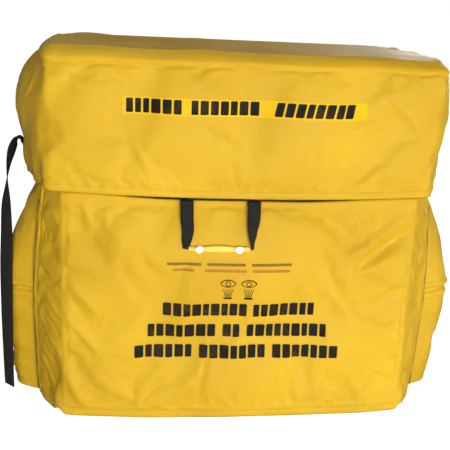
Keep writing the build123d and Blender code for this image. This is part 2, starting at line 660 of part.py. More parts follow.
# === side straps ===================================================================================
strap_lean = Vector(0, strap_top_y - strap_foot_y, strap_arch_z - hem_z).normalized()
for name, side in sides.items():
    strap_plane = Plane((0, strap_foot_y, hem_z), x_dir=(1, 0, 0), z_dir=Vector(1, 0, 0).cross(strap_lean))
    strap_root_z = patch_top_z + touch + strap_width / 2 * strap_lean.Y
    foot_x = level_at(body_levels, strap_foot_z + 15)[2] + webbing_thick / 2 + touch
    root_x, arch_x = [level_at(hood_levels, z)[3] + webbing_thick for z in (strap_root_z, strap_arch_z - 4)]
    strap_route = [  # distance out from the middle, height
        (foot_x, strap_foot_z),
        (foot_x, strap_foot_z + 15),
        (strap_x, belly_z - 100),
        (strap_x, belly_z + 80),
        (strap_x - 12, strap_arch_z - 50),
        (arch_x + 14, strap_arch_z),
        (arch_x, strap_arch_z - 4),
        (root_x, strap_root_z),
    ]
    with BuildPart() as strap:
        with BuildSketch(strap_plane):
            with BuildLine():
                strap_points = [(side * x, (z - hem_z) / strap_lean.Z) for x, z in strap_route]
                FilletPolyline(*strap_points, radius=bends_within(strap_points, strap_bends))
            trace(line_width=webbing_thick)
        extrude(amount=strap_width / 2, both=True)
    save(strap, f"side_strap_{name}")

    with BuildPart() as strap_patch:
        hood_side = [level_at(hood_levels, z)[3] + 0.2 for z in (patch_bottom_z, patch_top_z)]
        with BuildSketch(Plane.XZ.offset(-strap_top_y - patch_width / 2)):
            with BuildLine():
                Polyline(
                    (side * hood_side[0], patch_bottom_z),
                    (side * hood_side[1], patch_top_z),
                    (side * (hood_side[1] + patch_thick), patch_top_z),
                    (side * (hood_side[0] + patch_thick), patch_bottom_z),
                    close=True,
                )
            make_face()
        extrude(amount=patch_width)
    save(strap_patch, f"strap_patch_{name}")
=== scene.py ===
"""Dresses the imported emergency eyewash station: its padded vinyl jacket, webbing, prints and finishes."""

import logging
import math
from dataclasses import dataclass, field
from enum import Enum
from typing import Callable, Sequence

import bmesh
import bpy
import numpy as np
from mathutils import Matrix, Vector
from mathutils.bvhtree import BVHTree


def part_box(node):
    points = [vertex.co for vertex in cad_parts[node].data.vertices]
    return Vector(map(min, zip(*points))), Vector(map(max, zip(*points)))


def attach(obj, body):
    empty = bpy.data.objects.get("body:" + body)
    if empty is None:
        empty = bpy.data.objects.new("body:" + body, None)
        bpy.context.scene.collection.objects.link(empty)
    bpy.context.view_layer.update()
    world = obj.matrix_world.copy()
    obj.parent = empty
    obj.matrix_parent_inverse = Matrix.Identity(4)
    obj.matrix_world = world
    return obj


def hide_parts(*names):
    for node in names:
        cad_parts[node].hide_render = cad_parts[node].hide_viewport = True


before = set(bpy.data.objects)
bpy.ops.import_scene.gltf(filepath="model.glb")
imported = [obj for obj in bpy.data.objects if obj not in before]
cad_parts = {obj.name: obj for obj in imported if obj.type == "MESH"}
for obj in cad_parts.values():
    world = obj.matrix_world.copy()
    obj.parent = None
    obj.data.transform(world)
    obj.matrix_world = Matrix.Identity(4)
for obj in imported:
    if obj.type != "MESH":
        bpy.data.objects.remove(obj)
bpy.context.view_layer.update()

log = logging.getLogger("eyewash")
MM = 0.001
Points = np.ndarray


# === small shared tools =========================================================================
def points_at(x: Points | float, y: Points | float, z: Points | float) -> Points:
    """Points, one row each, where a single number stands for the same value at every point."""
    return np.column_stack(np.broadcast_arrays(x, y, z))


def smooth_step(value: Points, low: float, high: float) -> Points:
    """Rises smoothly from 0 at low to 1 at high.

    Args:
        value: Where to read it.
        low: Where the rise starts.
        high: Where it ends, which may lie below low.

    Returns:
        The height of the step, from 0 to 1.
    """
    t = np.clip((value - low) / (high - low), 0.0, 1.0)
    return t * t * (3 - 2 * t)


def ripple(a: Points, b: Points, seed: int, wavelength: float, waves: int = 9) -> Points:
    """A smooth random field made of a few sine waves, about 1 high.

    Args:
        a: First coordinate, in metres.
        b: Second coordinate, in metres.
        seed: Picks the waves.
        wavelength: Typical distance between crests, in metres.
        waves: How many waves are added.

    Returns:
        The field at each point.
    """
    rng = np.random.default_rng(seed)
    total = np.zeros(np.broadcast(a, b).shape)
    for _ in range(waves):
        turn, stretch, phase = rng.uniform(0, math.tau), rng.uniform(0.6, 1.6), rng.uniform(0, math.tau)
        k = math.tau / (wavelength * stretch)
        total += np.sin(k * (math.cos(turn) * a + math.sin(turn) * b) + phase)
    return total / math.sqrt(waves)


def level_curve(z: Points, levels: Sequence[tuple[float, float]]) -> Points:
    """A smooth curve through (height, value) pairs.

    Args:
        z: Heights to read.
        levels: The pairs, from low to high.

    Returns:
        The value at each height.
    """
    zs, vs = np.array(levels, float).T
    slopes = np.gradient(vs, zs)
    index = np.clip(np.searchsorted(zs, z) - 1, 0, len(zs) - 2)
    span = zs[index + 1] - zs[index]
    t = np.clip((z - zs[index]) / span, 0, 1)
    h00, h10 = 2 * t**3 - 3 * t**2 + 1, t**3 - 2 * t**2 + t
    h01, h11 = -2 * t**3 + 3 * t**2, t**3 - t**2
    return h00 * vs[index] + h10 * span * slopes[index] + h01 * vs[index + 1] + h11 * span * slopes[index + 1]


def rounded_path(corners: Sequence[tuple[float, float]], radii: Sequence[float], edges: Sequence[int],
                 turns: int, closed: bool) -> Points:
    """A path in plan with straight edges and rounded corners.

    Args:
        corners: The corner points.
        radii: How far each corner's curve reaches along its edges.
        edges: Steps along each edge.
        turns: Steps round each corner.
        closed: Whether the last corner joins the first.

    Returns:
        The points, one row each.
    """
    pts = np.array(corners, float)
    n = len(pts)
    ways = []
    for i in range(n if closed else n - 1):
        step = pts[(i + 1) % n] - pts[i]
        ways.append(step / np.linalg.norm(step))
    room = [np.linalg.norm(pts[(i + 1) % n] - pts[i]) * 0.46 for i in range(n)]
    radii = [min(r, room[i - 1], room[i]) if closed or 0 < i < n - 1 else 0 for i, r in enumerate(radii)]
    out = []
    for i in range(n):
        has_corner = closed or 0 < i < n - 1
        if has_corner:
            before, after = ways[i - 1], ways[i % len(ways)]
            a, c = pts[i] - before * radii[i], pts[i] + after * radii[i]
            for t in np.linspace(0, 1, turns, endpoint=False):
                out.append((1 - t) ** 2 * a + 2 * t * (1 - t) * pts[i] + t * t * c)
        if closed or i < n - 1:
            j = (i + 1) % n
            start = pts[i] + ways[i] * (radii[i] if has_corner else 0)
            end_radius = radii[j] if closed or j < n - 1 else 0
            end = pts[j] - ways[i] * end_radius
            for t in np.linspace(0, 1, edges[i], endpoint=False):
                out.append(start + (end - start) * t)
    if not closed:
        out.append(pts[-1])
    return np.array(out)


@dataclass(frozen=True)
class Fold:
    """A ridge on a sheet, or a valley where its height is negative.

    Attributes:
        start: One end, in the sheet's two coordinates.
        end: The other end.
        width: Half width of the ridge.
        height: How far it stands out.
    """

    start: tuple[float, float]
    end: tuple[float, float]
    width: float
    height: float

    def at(self, a: Points, b: Points) -> Points:
        """The ridge's height at each point."""
        s, e = np.array(self.start), np.array(self.end)
        run = e - s
        length = np.linalg.norm(run)
        t = ((a - s[0]) * run[0] + (b - s[1]) * run[1]) / length**2
        off = np.abs((a - s[0]) * run[1] - (b - s[1]) * run[0]) / length
        along = np.sin(np.clip(t, 0, 1) * math.pi) ** 0.7
        return self.height * along * np.exp(-((off / self.width) ** 2))


def pulled(folds: Sequence[Fold], a: Points, b: Points) -> Points:
    """The sum of several folds."""
    return sum((f.at(a, b) for f in folds), np.zeros(np.broadcast(a, b).shape))


def new_piece(name: str, mesh: bpy.types.Mesh) -> bpy.types.Object:
    """Puts a mesh into the scene as a piece of that name."""
    piece = bpy.data.objects.new(name, mesh)
    bpy.context.scene.collection.objects.link(piece)
    return piece


def mesh_from(name: str, vertices: Points, faces: Sequence[Sequence[int]],
              smooth: bool = True) -> bpy.types.Mesh:
    """A mesh from its points and faces, with normals outwards and doubles merged."""
    mesh = bpy.data.meshes.new(name)
    mesh.from_pydata([tuple(v) for v in vertices], [], [tuple(f) for f in faces])
    tidy = bmesh.new()
    tidy.from_mesh(mesh)
    bmesh.ops.remove_doubles(tidy, verts=tidy.verts, dist=1e-6)
    bmesh.ops.recalc_face_normals(tidy, faces=tidy.faces)
    tidy.to_mesh(mesh)
    tidy.free()
    mesh.polygons.foreach_set("use_smooth", [smooth] * len(mesh.polygons))
    return mesh


# === finishes ===================================================================================
def map_from_front(mesh: bpy.types.Mesh, fold: float = 0.0) -> None:
    """Gives a mesh its cloth map in metres, as seen from the front.

    Args:
        mesh: The mesh.
        fold: How much of its depth is added to the height, for cloth that folds back.
    """
    layer = mesh.uv_layers.new(name="cloth")
    for loop in mesh.loops:
        place = mesh.vertices[loop.vertex_index].co
        layer.data[loop.index].uv = place.x, place.z + place.y * fold


class NodeInk:
    """Writes a material's node tree with short calls."""

    def __init__(self, name: str) -> None:
        """Starts a material with an empty Principled surface.

        Args:
            name: The material's name.
        """
        self.material = bpy.data.materials.new(name)
        self.material.use_nodes = True
        self.tree = self.material.node_tree
        self.shader = self.tree.nodes["Principled BSDF"]
        self.coordinates = self.tree.nodes.new("ShaderNodeTexCoord")

    def node(self, kind: str, **settings: object) -> bpy.types.Node:
        """A new node with its properties set."""
        made = self.tree.nodes.new(kind)
        for key, value in settings.items():
            setattr(made, key, value)
        return made

    def join(self, source: bpy.types.NodeSocket, target: bpy.types.NodeSocket) -> None:
        """Links two sockets."""
        self.tree.links.new(source, target)

    def math(self, operation: str, a: object, b: object = 0.0) -> bpy.types.NodeSocket:
        """A math node on sockets or numbers."""
        made = self.node("ShaderNodeMath", operation=operation)
        for socket, value in zip(made.inputs, (a, b)):
            if isinstance(value, bpy.types.NodeSocket):
                self.join(value, socket)
            else:
                socket.default_value = value
        return made.outputs[0]

    def noise(self, scale: float, detail: float = 3.0, rough: float = 0.5,
              stretch: tuple[float, float, float] = (1, 1, 1)) -> bpy.types.NodeSocket:
        """Noise in the piece's own coordinates, where scale is cells in each metre."""
        place = self.node("ShaderNodeMapping")
        place.inputs["Scale"].default_value = stretch
        self.join(self.coordinates.outputs["Object"], place.inputs["Vector"])
        made = self.node("ShaderNodeTexNoise")
        made.inputs["Scale"].default_value = scale
        made.inputs["Detail"].default_value = detail
        made.inputs["Roughness"].default_value = rough
        self.join(place.outputs[0], made.inputs["Vector"])
        return made.outputs["Fac"]

    def ramp(self, source: bpy.types.NodeSocket, low: Sequence[float], high: Sequence[float],
             start: float = 0.3, end: float = 0.7) -> bpy.types.NodeSocket:
        """A colour that runs from low to high."""
        made = self.node("ShaderNodeValToRGB")
        made.color_ramp.elements[0].position, made.color_ramp.elements[1].position = start, end
        made.color_ramp.elements[0].color = (*low, 1)
        made.color_ramp.elements[1].color = (*high, 1)
        self.join(source, made.inputs[0])
        return made.outputs[0]

    def span(self, source: bpy.types.NodeSocket, low: float, high: float) -> bpy.types.NodeSocket:
        """Maps 0..1 onto low..high."""
        made = self.node("ShaderNodeMapRange")
        made.inputs["To Min"].default_value, made.inputs["To Max"].default_value = low, high
        self.join(source, made.inputs["Value"])
        return made.outputs[0]

    def bump(self, source: bpy.types.NodeSocket, height: float, strength: float = 1.0,
             under: bpy.types.NodeSocket | None = None) -> bpy.types.NodeSocket:
        """A bump of that height in metres, on top of another one."""
        made = self.node("ShaderNodeBump")
        made.inputs["Strength"].default_value = strength
        made.inputs["Distance"].default_value = height
        self.join(source, made.inputs["Height"])
        if under is not None:
            self.join(under, made.inputs["Normal"])
        return made.outputs[0]

    def finish(self, **values: object) -> bpy.types.Material:
        """Sets the shader's sockets to numbers, colours or other sockets.

        Args:
            values: Socket names, with underscores for spaces.

        Returns:
            The finished material.
        """
        for key, value in values.items():
            socket = self.shader.inputs[key.replace("_", " ")]
            if isinstance(value, bpy.types.NodeSocket):
                self.join(value, socket)
            else:
                socket.default_value = value
        return self.material


@dataclass(frozen=True)
class CoatedCloth:
    """Woven cloth under a soft vinyl coat.

    Attributes:
        name: The material's name.
        low: The darker colour of its slow variation.
        high: The lighter one.
        pitch: Distance between the threads of the scrim, in metres.
        relief: How high the threads stand, in metres.
        gloss: Lowest roughness.
        shine: Specular level.
    """

    name: str
    low: tuple[float, float, float]
    high: tuple[float, float, float]
    pitch: float = 0.0024
    relief: float = 0.0003
    gloss: float = 0.36
    shine: float = 0.34

    def build(self) -> bpy.types.Material:
        """Makes the material."""
        ink = NodeInk(self.name)
        apart = ink.node("ShaderNodeSeparateXYZ")
        ink.join(ink.coordinates.outputs["UV"], apart.inputs[0])
        threads = []
        for axis in ("X", "Y"):
            turn = ink.math("MULTIPLY", apart.outputs[axis], math.tau / self.pitch)
            threads.append(ink.math("POWER", ink.math("ABSOLUTE", ink.math("SINE", turn)), 0.6))
        weave = ink.math("ADD", *threads)
        slow = ink.noise(5.0, 3)
        scuff = ink.noise(60.0, 4)
        colour = ink.ramp(slow, self.low, self.high, 0.32, 0.68)
        shade = ink.node("ShaderNodeMix", data_type="RGBA", blend_type="MULTIPLY")
        shade.inputs["Factor"].default_value = 0.13
        ink.join(colour, shade.inputs["A"])
        ink.join(ink.ramp(weave, (0.55, 0.5, 0.42), (1, 1, 1), 0.25, 1.2), shade.inputs["B"])
        pile = ink.bump(weave, self.relief, 0.8)
        skin = ink.bump(ink.noise(420.0, 2), 0.00005, 0.5, pile)
        return ink.finish(
            Base_Color=shade.outputs["Result"], Roughness=ink.span(scuff, self.gloss, self.gloss + 0.16),
            Normal=ink.bump(ink.noise(14.0, 3), 0.0008, 0.6, skin), Specular_IOR_Level=self.shine,
            Coat_Weight=0.04, Coat_Roughness=0.3,
        )


@dataclass(frozen=True)
class Webbing:
    """Flat woven webbing, with ribs across and a rolled edge, drawn on the strap's own map."""

    name: str
    color: tuple[float, float, float]
    rib: float = 0.0022

    def build(self) -> bpy.types.Material:
        """Makes the material."""
        ink = NodeInk(self.name)
        apart = ink.node("ShaderNodeSeparateXYZ")
        ink.join(ink.coordinates.outputs["UV"], apart.inputs[0])
        along = ink.math("SINE", ink.math("MULTIPLY", apart.outputs["Y"], math.tau / self.rib))
        across = ink.math("SINE", ink.math("MULTIPLY", apart.outputs["X"], math.tau / (self.rib * 0.8)))
        weave = ink.math("MULTIPLY", along, across)
        fuzz = ink.noise(900.0, 3)
        light = tuple(min(1.0, c * 2.2 + 0.008) for c in self.color)
        uneven = ink.math("ADD", ink.math("MULTIPLY", weave, 0.4), fuzz)
        colour = ink.ramp(uneven, self.color, light, 0.3, 1.1)
        rough = ink.span(fuzz, 0.62, 0.9)
        normal = ink.bump(weave, 0.0004, 0.9, ink.bump(fuzz, 0.0001, 0.6))
        return ink.finish(Base_Color=colour, Roughness=rough, Normal=normal, Specular_IOR_Level=0.25)


@dataclass(frozen=True)
class Moulded:
    """Moulded plastic or rubber with a fine grain.

    Attributes:
        name: The material's name.
        color: Its colour.
        roughness: Middle roughness.
        grain: Height of the grain, in metres.
        coat: Weight of a clear gloss over it.
        milk: How much light passes, for translucent plastic.
    """

    name: str
    color: tuple[float, float, float]
    roughness: float = 0.45
    grain: float = 0.00012
    coat: float = 0.0
    milk: float = 0.0

    def build(self) -> bpy.types.Material:
        """Makes the material."""
        ink = NodeInk(self.name)
        cloud = ink.noise(9.0, 4)
        dark = tuple(c * 0.86 for c in self.color)
        light = tuple(min(1.0, c * 1.07 + 0.004) for c in self.color)
        colour = ink.ramp(cloud, dark, light)
        worn = ink.noise(110.0, 5)
        rough = ink.span(worn, max(0.05, self.roughness - 0.08), self.roughness + 0.1)
        normal = ink.bump(ink.noise(1400.0, 2), self.grain, 0.55, ink.bump(cloud, 0.0006, 0.3))
        return ink.finish(Base_Color=colour, Roughness=rough, Normal=normal, Coat_Weight=self.coat,
                          Transmission_Weight=self.milk, IOR=1.46)


@dataclass(frozen=True)
class Metal:
    """Plated or brushed metal, with fine lines along one axis."""

    name: str
    color: tuple[float, float, float]
    roughness: float = 0.28
    lines: tuple[float, float, float] = (1, 1, 30)

    def build(self) -> bpy.types.Material:
        """Makes the material."""
        ink = NodeInk(self.name)
        brushed = ink.noise(160.0, 4, stretch=self.lines)
        tarnish = ink.noise(40.0, 4)
        dark = tuple(c * 0.8 for c in self.color)
        return ink.finish(
            Base_Color=ink.ramp(tarnish, dark, self.color), Metallic=1.0,
            Roughness=ink.span(brushed, self.roughness * 0.7, self.roughness * 1.4),
            Normal=ink.bump(brushed, 0.00006, 0.5),
        )


@dataclass(frozen=True)
class Pile:
    """Foam or the loops of a touch fastener."""

    name: str
    color: tuple[float, float, float]
    cell: float = 0.0012

    def build(self) -> bpy.types.Material:
        """Makes the material."""
        ink = NodeInk(self.name)
        cells = ink.node("ShaderNodeTexVoronoi")
        cells.inputs["Scale"].default_value = 1 / self.cell
        ink.join(ink.coordinates.outputs["Object"], cells.inputs["Vector"])
        dark = tuple(c * 0.45 for c in self.color)
        colour = ink.ramp(cells.outputs["Distance"], self.color, dark, 0.1, 0.8)
        return ink.finish(Base_Color=colour, Roughness=ink.span(ink.noise(700.0), 0.8, 0.98),
                          Normal=ink.bump(cells.outputs["Distance"], 0.0005, 0.8), Sheen_Weight=0.3)


@dataclass(frozen=True)
class PrintInk:
    """Screen-printed ink with a slightly broken film, so the cloth shows through."""

    name: str
    color: tuple[float, float, float]
    worn: tuple[float, float, float]
    roughness: float = 0.62

    def build(self) -> bpy.types.Material:
        """Makes the material."""
        ink = NodeInk(self.name)
        film = ink.noise(520.0, 4, rough=0.65)
        patches = ink.noise(35.0, 3)
        broken = ink.math("ADD", ink.math("MULTIPLY", film, 0.6), ink.math("MULTIPLY", patches, 0.4))
        colour = ink.ramp(broken, self.color, self.worn, 0.52, 0.72)
        return ink.finish(Base_Color=colour, Roughness=ink.span(film, self.roughness, self.roughness + 0.2),
                          Specular_IOR_Level=0.12, Normal=ink.bump(film, 0.00005, 0.5))


class Finish(Enum):
    """Every finish of the station, by what it is on."""

    VINYL = CoatedCloth("yellow_vinyl", (0.71, 0.405, 0.006), (0.82, 0.495, 0.012))
    LABEL = CoatedCloth("label_vinyl", (0.84, 0.495, 0.002), (0.90, 0.55, 0.003),
                        relief=0.0001, gloss=0.5, shine=0.12)
    # Dark amber tape, a darkened copy of the yellow vinyl: partly binding, partly painted shadow of the gap
    # between each band and the side panel.
    SHADE_BINDING = CoatedCloth("edge_binding_painted_shade", (0.17, 0.085, 0.012), (0.25, 0.14, 0.02), relief=0.0001)
    GRIP = CoatedCloth("grip_vinyl", (0.48, 0.265, 0.006), (0.56, 0.32, 0.010),
                       relief=0.00008, gloss=0.6, shine=0.08)
    THREAD = Webbing("stitch_thread", (0.36, 0.21, 0.02), 0.0006)
    STRAP = Webbing("black_webbing", (0.013, 0.012, 0.010))
    LOOP = Pile("loop_fastener", (0.42, 0.43, 0.45))
    FOAM = Pile("grey_foam", (0.10, 0.10, 0.11), 0.002)
    HOUSING = Moulded("green_housing", (0.035, 0.15, 0.085), 0.5, 0.0003)
    TRAY = Moulded("yellow_tray", (0.72, 0.44, 0.02), 0.3, 0.0001, coat=0.2)
    COVER = Moulded("grey_cover", (0.50, 0.52, 0.51), 0.45, 0.00025)
    BASIN = Moulded("white_basin", (0.72, 0.75, 0.75), 0.25, 0.00008, coat=0.25)
    BOTTLE = Moulded("milky_bottle", (0.80, 0.84, 0.86), 0.3, 0.0001, milk=0.35)
    BLUE = Moulded("blue_cap", (0.02, 0.09, 0.32), 0.4)
    PIPE = Moulded("pale_pipe", (0.62, 0.62, 0.58), 0.32, 0.00005, coat=0.15)
    NOZZLE = Moulded("green_nozzle", (0.02, 0.26, 0.12), 0.28, 0.00006, coat=0.2)
    CAP = Moulded("yellow_cap", (0.80, 0.50, 0.02), 0.3, 0.00006, coat=0.2)
    HOSE = Moulded("clear_hose", (0.75, 0.78, 0.78), 0.15, 0.00004, milk=0.7)
    WHITE = Moulded("white_case", (0.70, 0.70, 0.67), 0.4)
    RED = Moulded("red_button", (0.55, 0.02, 0.012), 0.25, 0.00004, coat=0.3)
    BLACK = Moulded("black_case", (0.02, 0.02, 0.022), 0.5)
    RUBBER = Moulded("black_rubber", (0.015, 0.015, 0.015), 0.75, 0.0003)
    STEEL = Metal("stainless", (0.62, 0.62, 0.62))
    NICKEL = Metal("nickel", (0.20, 0.19, 0.17), 0.5)
    INK = PrintInk("black_print", (0.012, 0.010, 0.008), (0.11, 0.065, 0.012))
    FADED = PrintInk("brown_print", (0.20, 0.11, 0.03), (0.42, 0.25, 0.04))
    RUST = PrintInk("rust_print", (0.50, 0.17, 0.03), (0.60, 0.33, 0.04))

    def material(self) -> bpy.types.Material:
        """The finish's material, made the first time it is asked for."""
        return bpy.data.materials.get(self.value.name) or self.value.build()


def dress(piece: bpy.types.Object, finish: Finish) -> None:
    """Gives every face of a piece one finish."""
    piece.data.materials.clear()
    piece.data.materials.append(finish.material())


# === sheets of padded cloth =====================================================================
@dataclass
class PaddedSheet:
    """A padded sheet as rows and columns of points on its outer face.

    Attributes:
        grid: Points, as rows by columns by three.
        closed: Whether the last column joins the first.
        roof_from: The row from which the sheet lies flat and faces up, if it has one.
    """

    grid: Points
    closed: bool
    roof_from: int | None = None

    def normals(self) -> Points:
        """Unit normals on the outer face."""
        if self.closed:
            across = np.roll(self.grid, -1, 1) - np.roll(self.grid, 1, 1)
        else:
            across = np.gradient(self.grid, axis=1)
        up = np.gradient(self.grid, axis=0)
        out = np.cross(across, up)
        length = np.linalg.norm(out, axis=2, keepdims=True)
        out = out / np.maximum(length, 1e-12)
        if self.roof_from is not None:
            share = smooth_step(np.arange(len(out)), self.roof_from - 1, self.roof_from + 3)[:, None, None]
            out = out * (1 - share) + np.array([0.0, 0.0, 1.0]) * share
            out /= np.maximum(np.linalg.norm(out, axis=2, keepdims=True), 1e-12)
        return out

    def push(self, amount: Points) -> None:
        """Moves the sheet along its normals by that much at each point."""
        self.grid = self.grid + self.normals() * amount[..., None]

    def piece(self, name: str, thickness: float, flat_top: bool = False) -> bpy.types.Object:
        """Closes the sheet into a solid of that thickness.

        Args:
            name: The piece's name.
            thickness: How far the inner face lies behind the outer one.
            flat_top: Whether faces that look up read their map from above.

        Returns:
            The piece, with its cloth map in metres.
        """
        rows, cols, _ = self.grid.shape
        inner = self.grid - self.normals() * thickness
        vertices = np.concatenate([self.grid.reshape(-1, 3), inner.reshape(-1, 3)])
        half = rows * cols
        wrap = cols if self.closed else cols - 1
        steps = np.linalg.norm(np.diff(self.grid, axis=1), axis=2).mean(0)
        u = np.concatenate([[0], np.cumsum(steps)])
        if self.closed:
            u = np.append(u, u[-1] + np.linalg.norm(self.grid[:, 0] - self.grid[:, -1], axis=1).mean())
        rise = np.linalg.norm(np.diff(self.grid, axis=0), axis=2).mean(1)
        v = np.concatenate([[0], np.cumsum(rise)])
        faces, uvs = [], []
        for r in range(rows - 1):
            for c in range(wrap):
                d = (c + 1) % cols
                quad = (r * cols + c, r * cols + d, (r + 1) * cols + d, (r + 1) * cols + c)
                corner = ((u[c], v[r]), (u[c + 1], v[r]), (u[c + 1], v[r + 1]), (u[c], v[r + 1]))
                faces += [quad, tuple(half + i for i in reversed(quad))]
                uvs += [corner, tuple(reversed(corner))]
        rims = ((0, True),) if self.roof_from is not None else ((0, True), (rows - 1, False))
        for r, flip in rims:
            for c in range(wrap):
                d = (c + 1) % cols
                quad = (r * cols + c, r * cols + d, half + r * cols + d, half + r * cols + c)
                far = v[r] + thickness
                corner = ((u[c], v[r]), (u[c + 1], v[r]), (u[c + 1], far), (u[c], far))
                faces.append(tuple(reversed(quad)) if flip else quad)
                uvs.append(tuple(reversed(corner)) if flip else corner)
        if not self.closed:
            for c, flip in ((0, False), (cols - 1, True)):
                for r in range(rows - 1):
                    quad = (r * cols + c, (r + 1) * cols + c, half + (r + 1) * cols + c, half + r * cols + c)
                    corner = ((u[c], v[r]), (u[c], v[r + 1]), (u[c] + thickness, v[r + 1]),
                              (u[c] + thickness, v[r]))
                    faces.append(tuple(reversed(quad)) if flip else quad)
                    uvs.append(tuple(reversed(corner)) if flip else corner)
        mesh = bpy.data.meshes.new(name)
        mesh.from_pydata([tuple(p) for p in vertices], [], faces)
        layer = mesh.uv_layers.new(name="cloth")
        flat = np.array([xy for corner in uvs for xy in corner], np.float32)
        if flat_top:
            flat = self._from_above(mesh, flat)
        layer.data.foreach_set("uv", flat.ravel())
        tidy = bmesh.new()
        tidy.from_mesh(mesh)
        bmesh.ops.remove_doubles(tidy, verts=tidy.verts, dist=2e-5)
        bmesh.ops.dissolve_degenerate(tidy, edges=tidy.edges, dist=1e-6)
        tidy.to_mesh(mesh)
        tidy.free()
        mesh.polygons.foreach_set("use_smooth", [True] * len(mesh.polygons))
        return new_piece(name, mesh)

    @staticmethod
    def _from_above(mesh: bpy.types.Mesh, flat: Points) -> Points:
        """Reads the map of faces that look up or down from their x and y."""
        for face in mesh.polygons:
            if abs(face.normal.z) > 0.75:
                for i in face.loop_indices:
                    place = mesh.vertices[mesh.loops[i].vertex_index].co
                    flat[i] = place.x, place.y
        return flat


def settle(piece: bpy.types.Object, held: Callable[[Vector], float], cap: float = 4 * MM,
           slack: float = 0.022, frames: int = 12) -> None:
    """Lets a padded sheet swell and buckle between its seams, then keeps the result in its mesh.

    Args:
        piece: The sheet.
        held: How firmly a point is sewn down, from 0 to 1.
        cap: How far a point may move.
        slack: How much larger the cloth was cut, as a share.
        frames: How long it settles.
    """
    group = piece.vertex_groups.new(name="sewn")
    for vertex in piece.data.vertices:
        group.add([vertex.index], held(vertex.co), "REPLACE")
    cloth = piece.modifiers.new("settle", "CLOTH")
    rules = cloth.settings
    rules.quality = 4
    rules.mass = 0.3
    rules.tension_stiffness = rules.compression_stiffness = 30
    rules.shear_stiffness = 15
    rules.bending_stiffness = 3
    rules.use_pressure = True
    rules.uniform_pressure_force = 1.5
    rules.shrink_min = rules.shrink_max = -slack
    rules.vertex_group_mass = group.name
    rules.effector_weights.gravity = 0
    cloth.collision_settings.use_collision = False
    cloth.point_cache.frame_start, cloth.point_cache.frame_end = 1, frames
    rest = np.array([v.co for v in piece.data.vertices])
    scene = bpy.context.scene
    for step in range(1, frames + 1):
        scene.frame_set(step)
    settled = piece.evaluated_get(bpy.context.evaluated_depsgraph_get())
    moved = np.array([v.co for v in settled.to_mesh().vertices]) - rest
    settled.to_mesh_clear()
    far = np.linalg.norm(moved, axis=1, keepdims=True)
    log.info("%s settled by up to %.1f mm", piece.name, far.max() / MM)
    moved *= cap * np.tanh(far / cap) / np.maximum(far, 1e-9)
    piece.modifiers.remove(cloth)
    piece.vertex_groups.remove(group)
    piece.data.vertices.foreach_set("co", (rest + moved).astype(np.float32).ravel())
    piece.data.update()
    scene.frame_set(1)


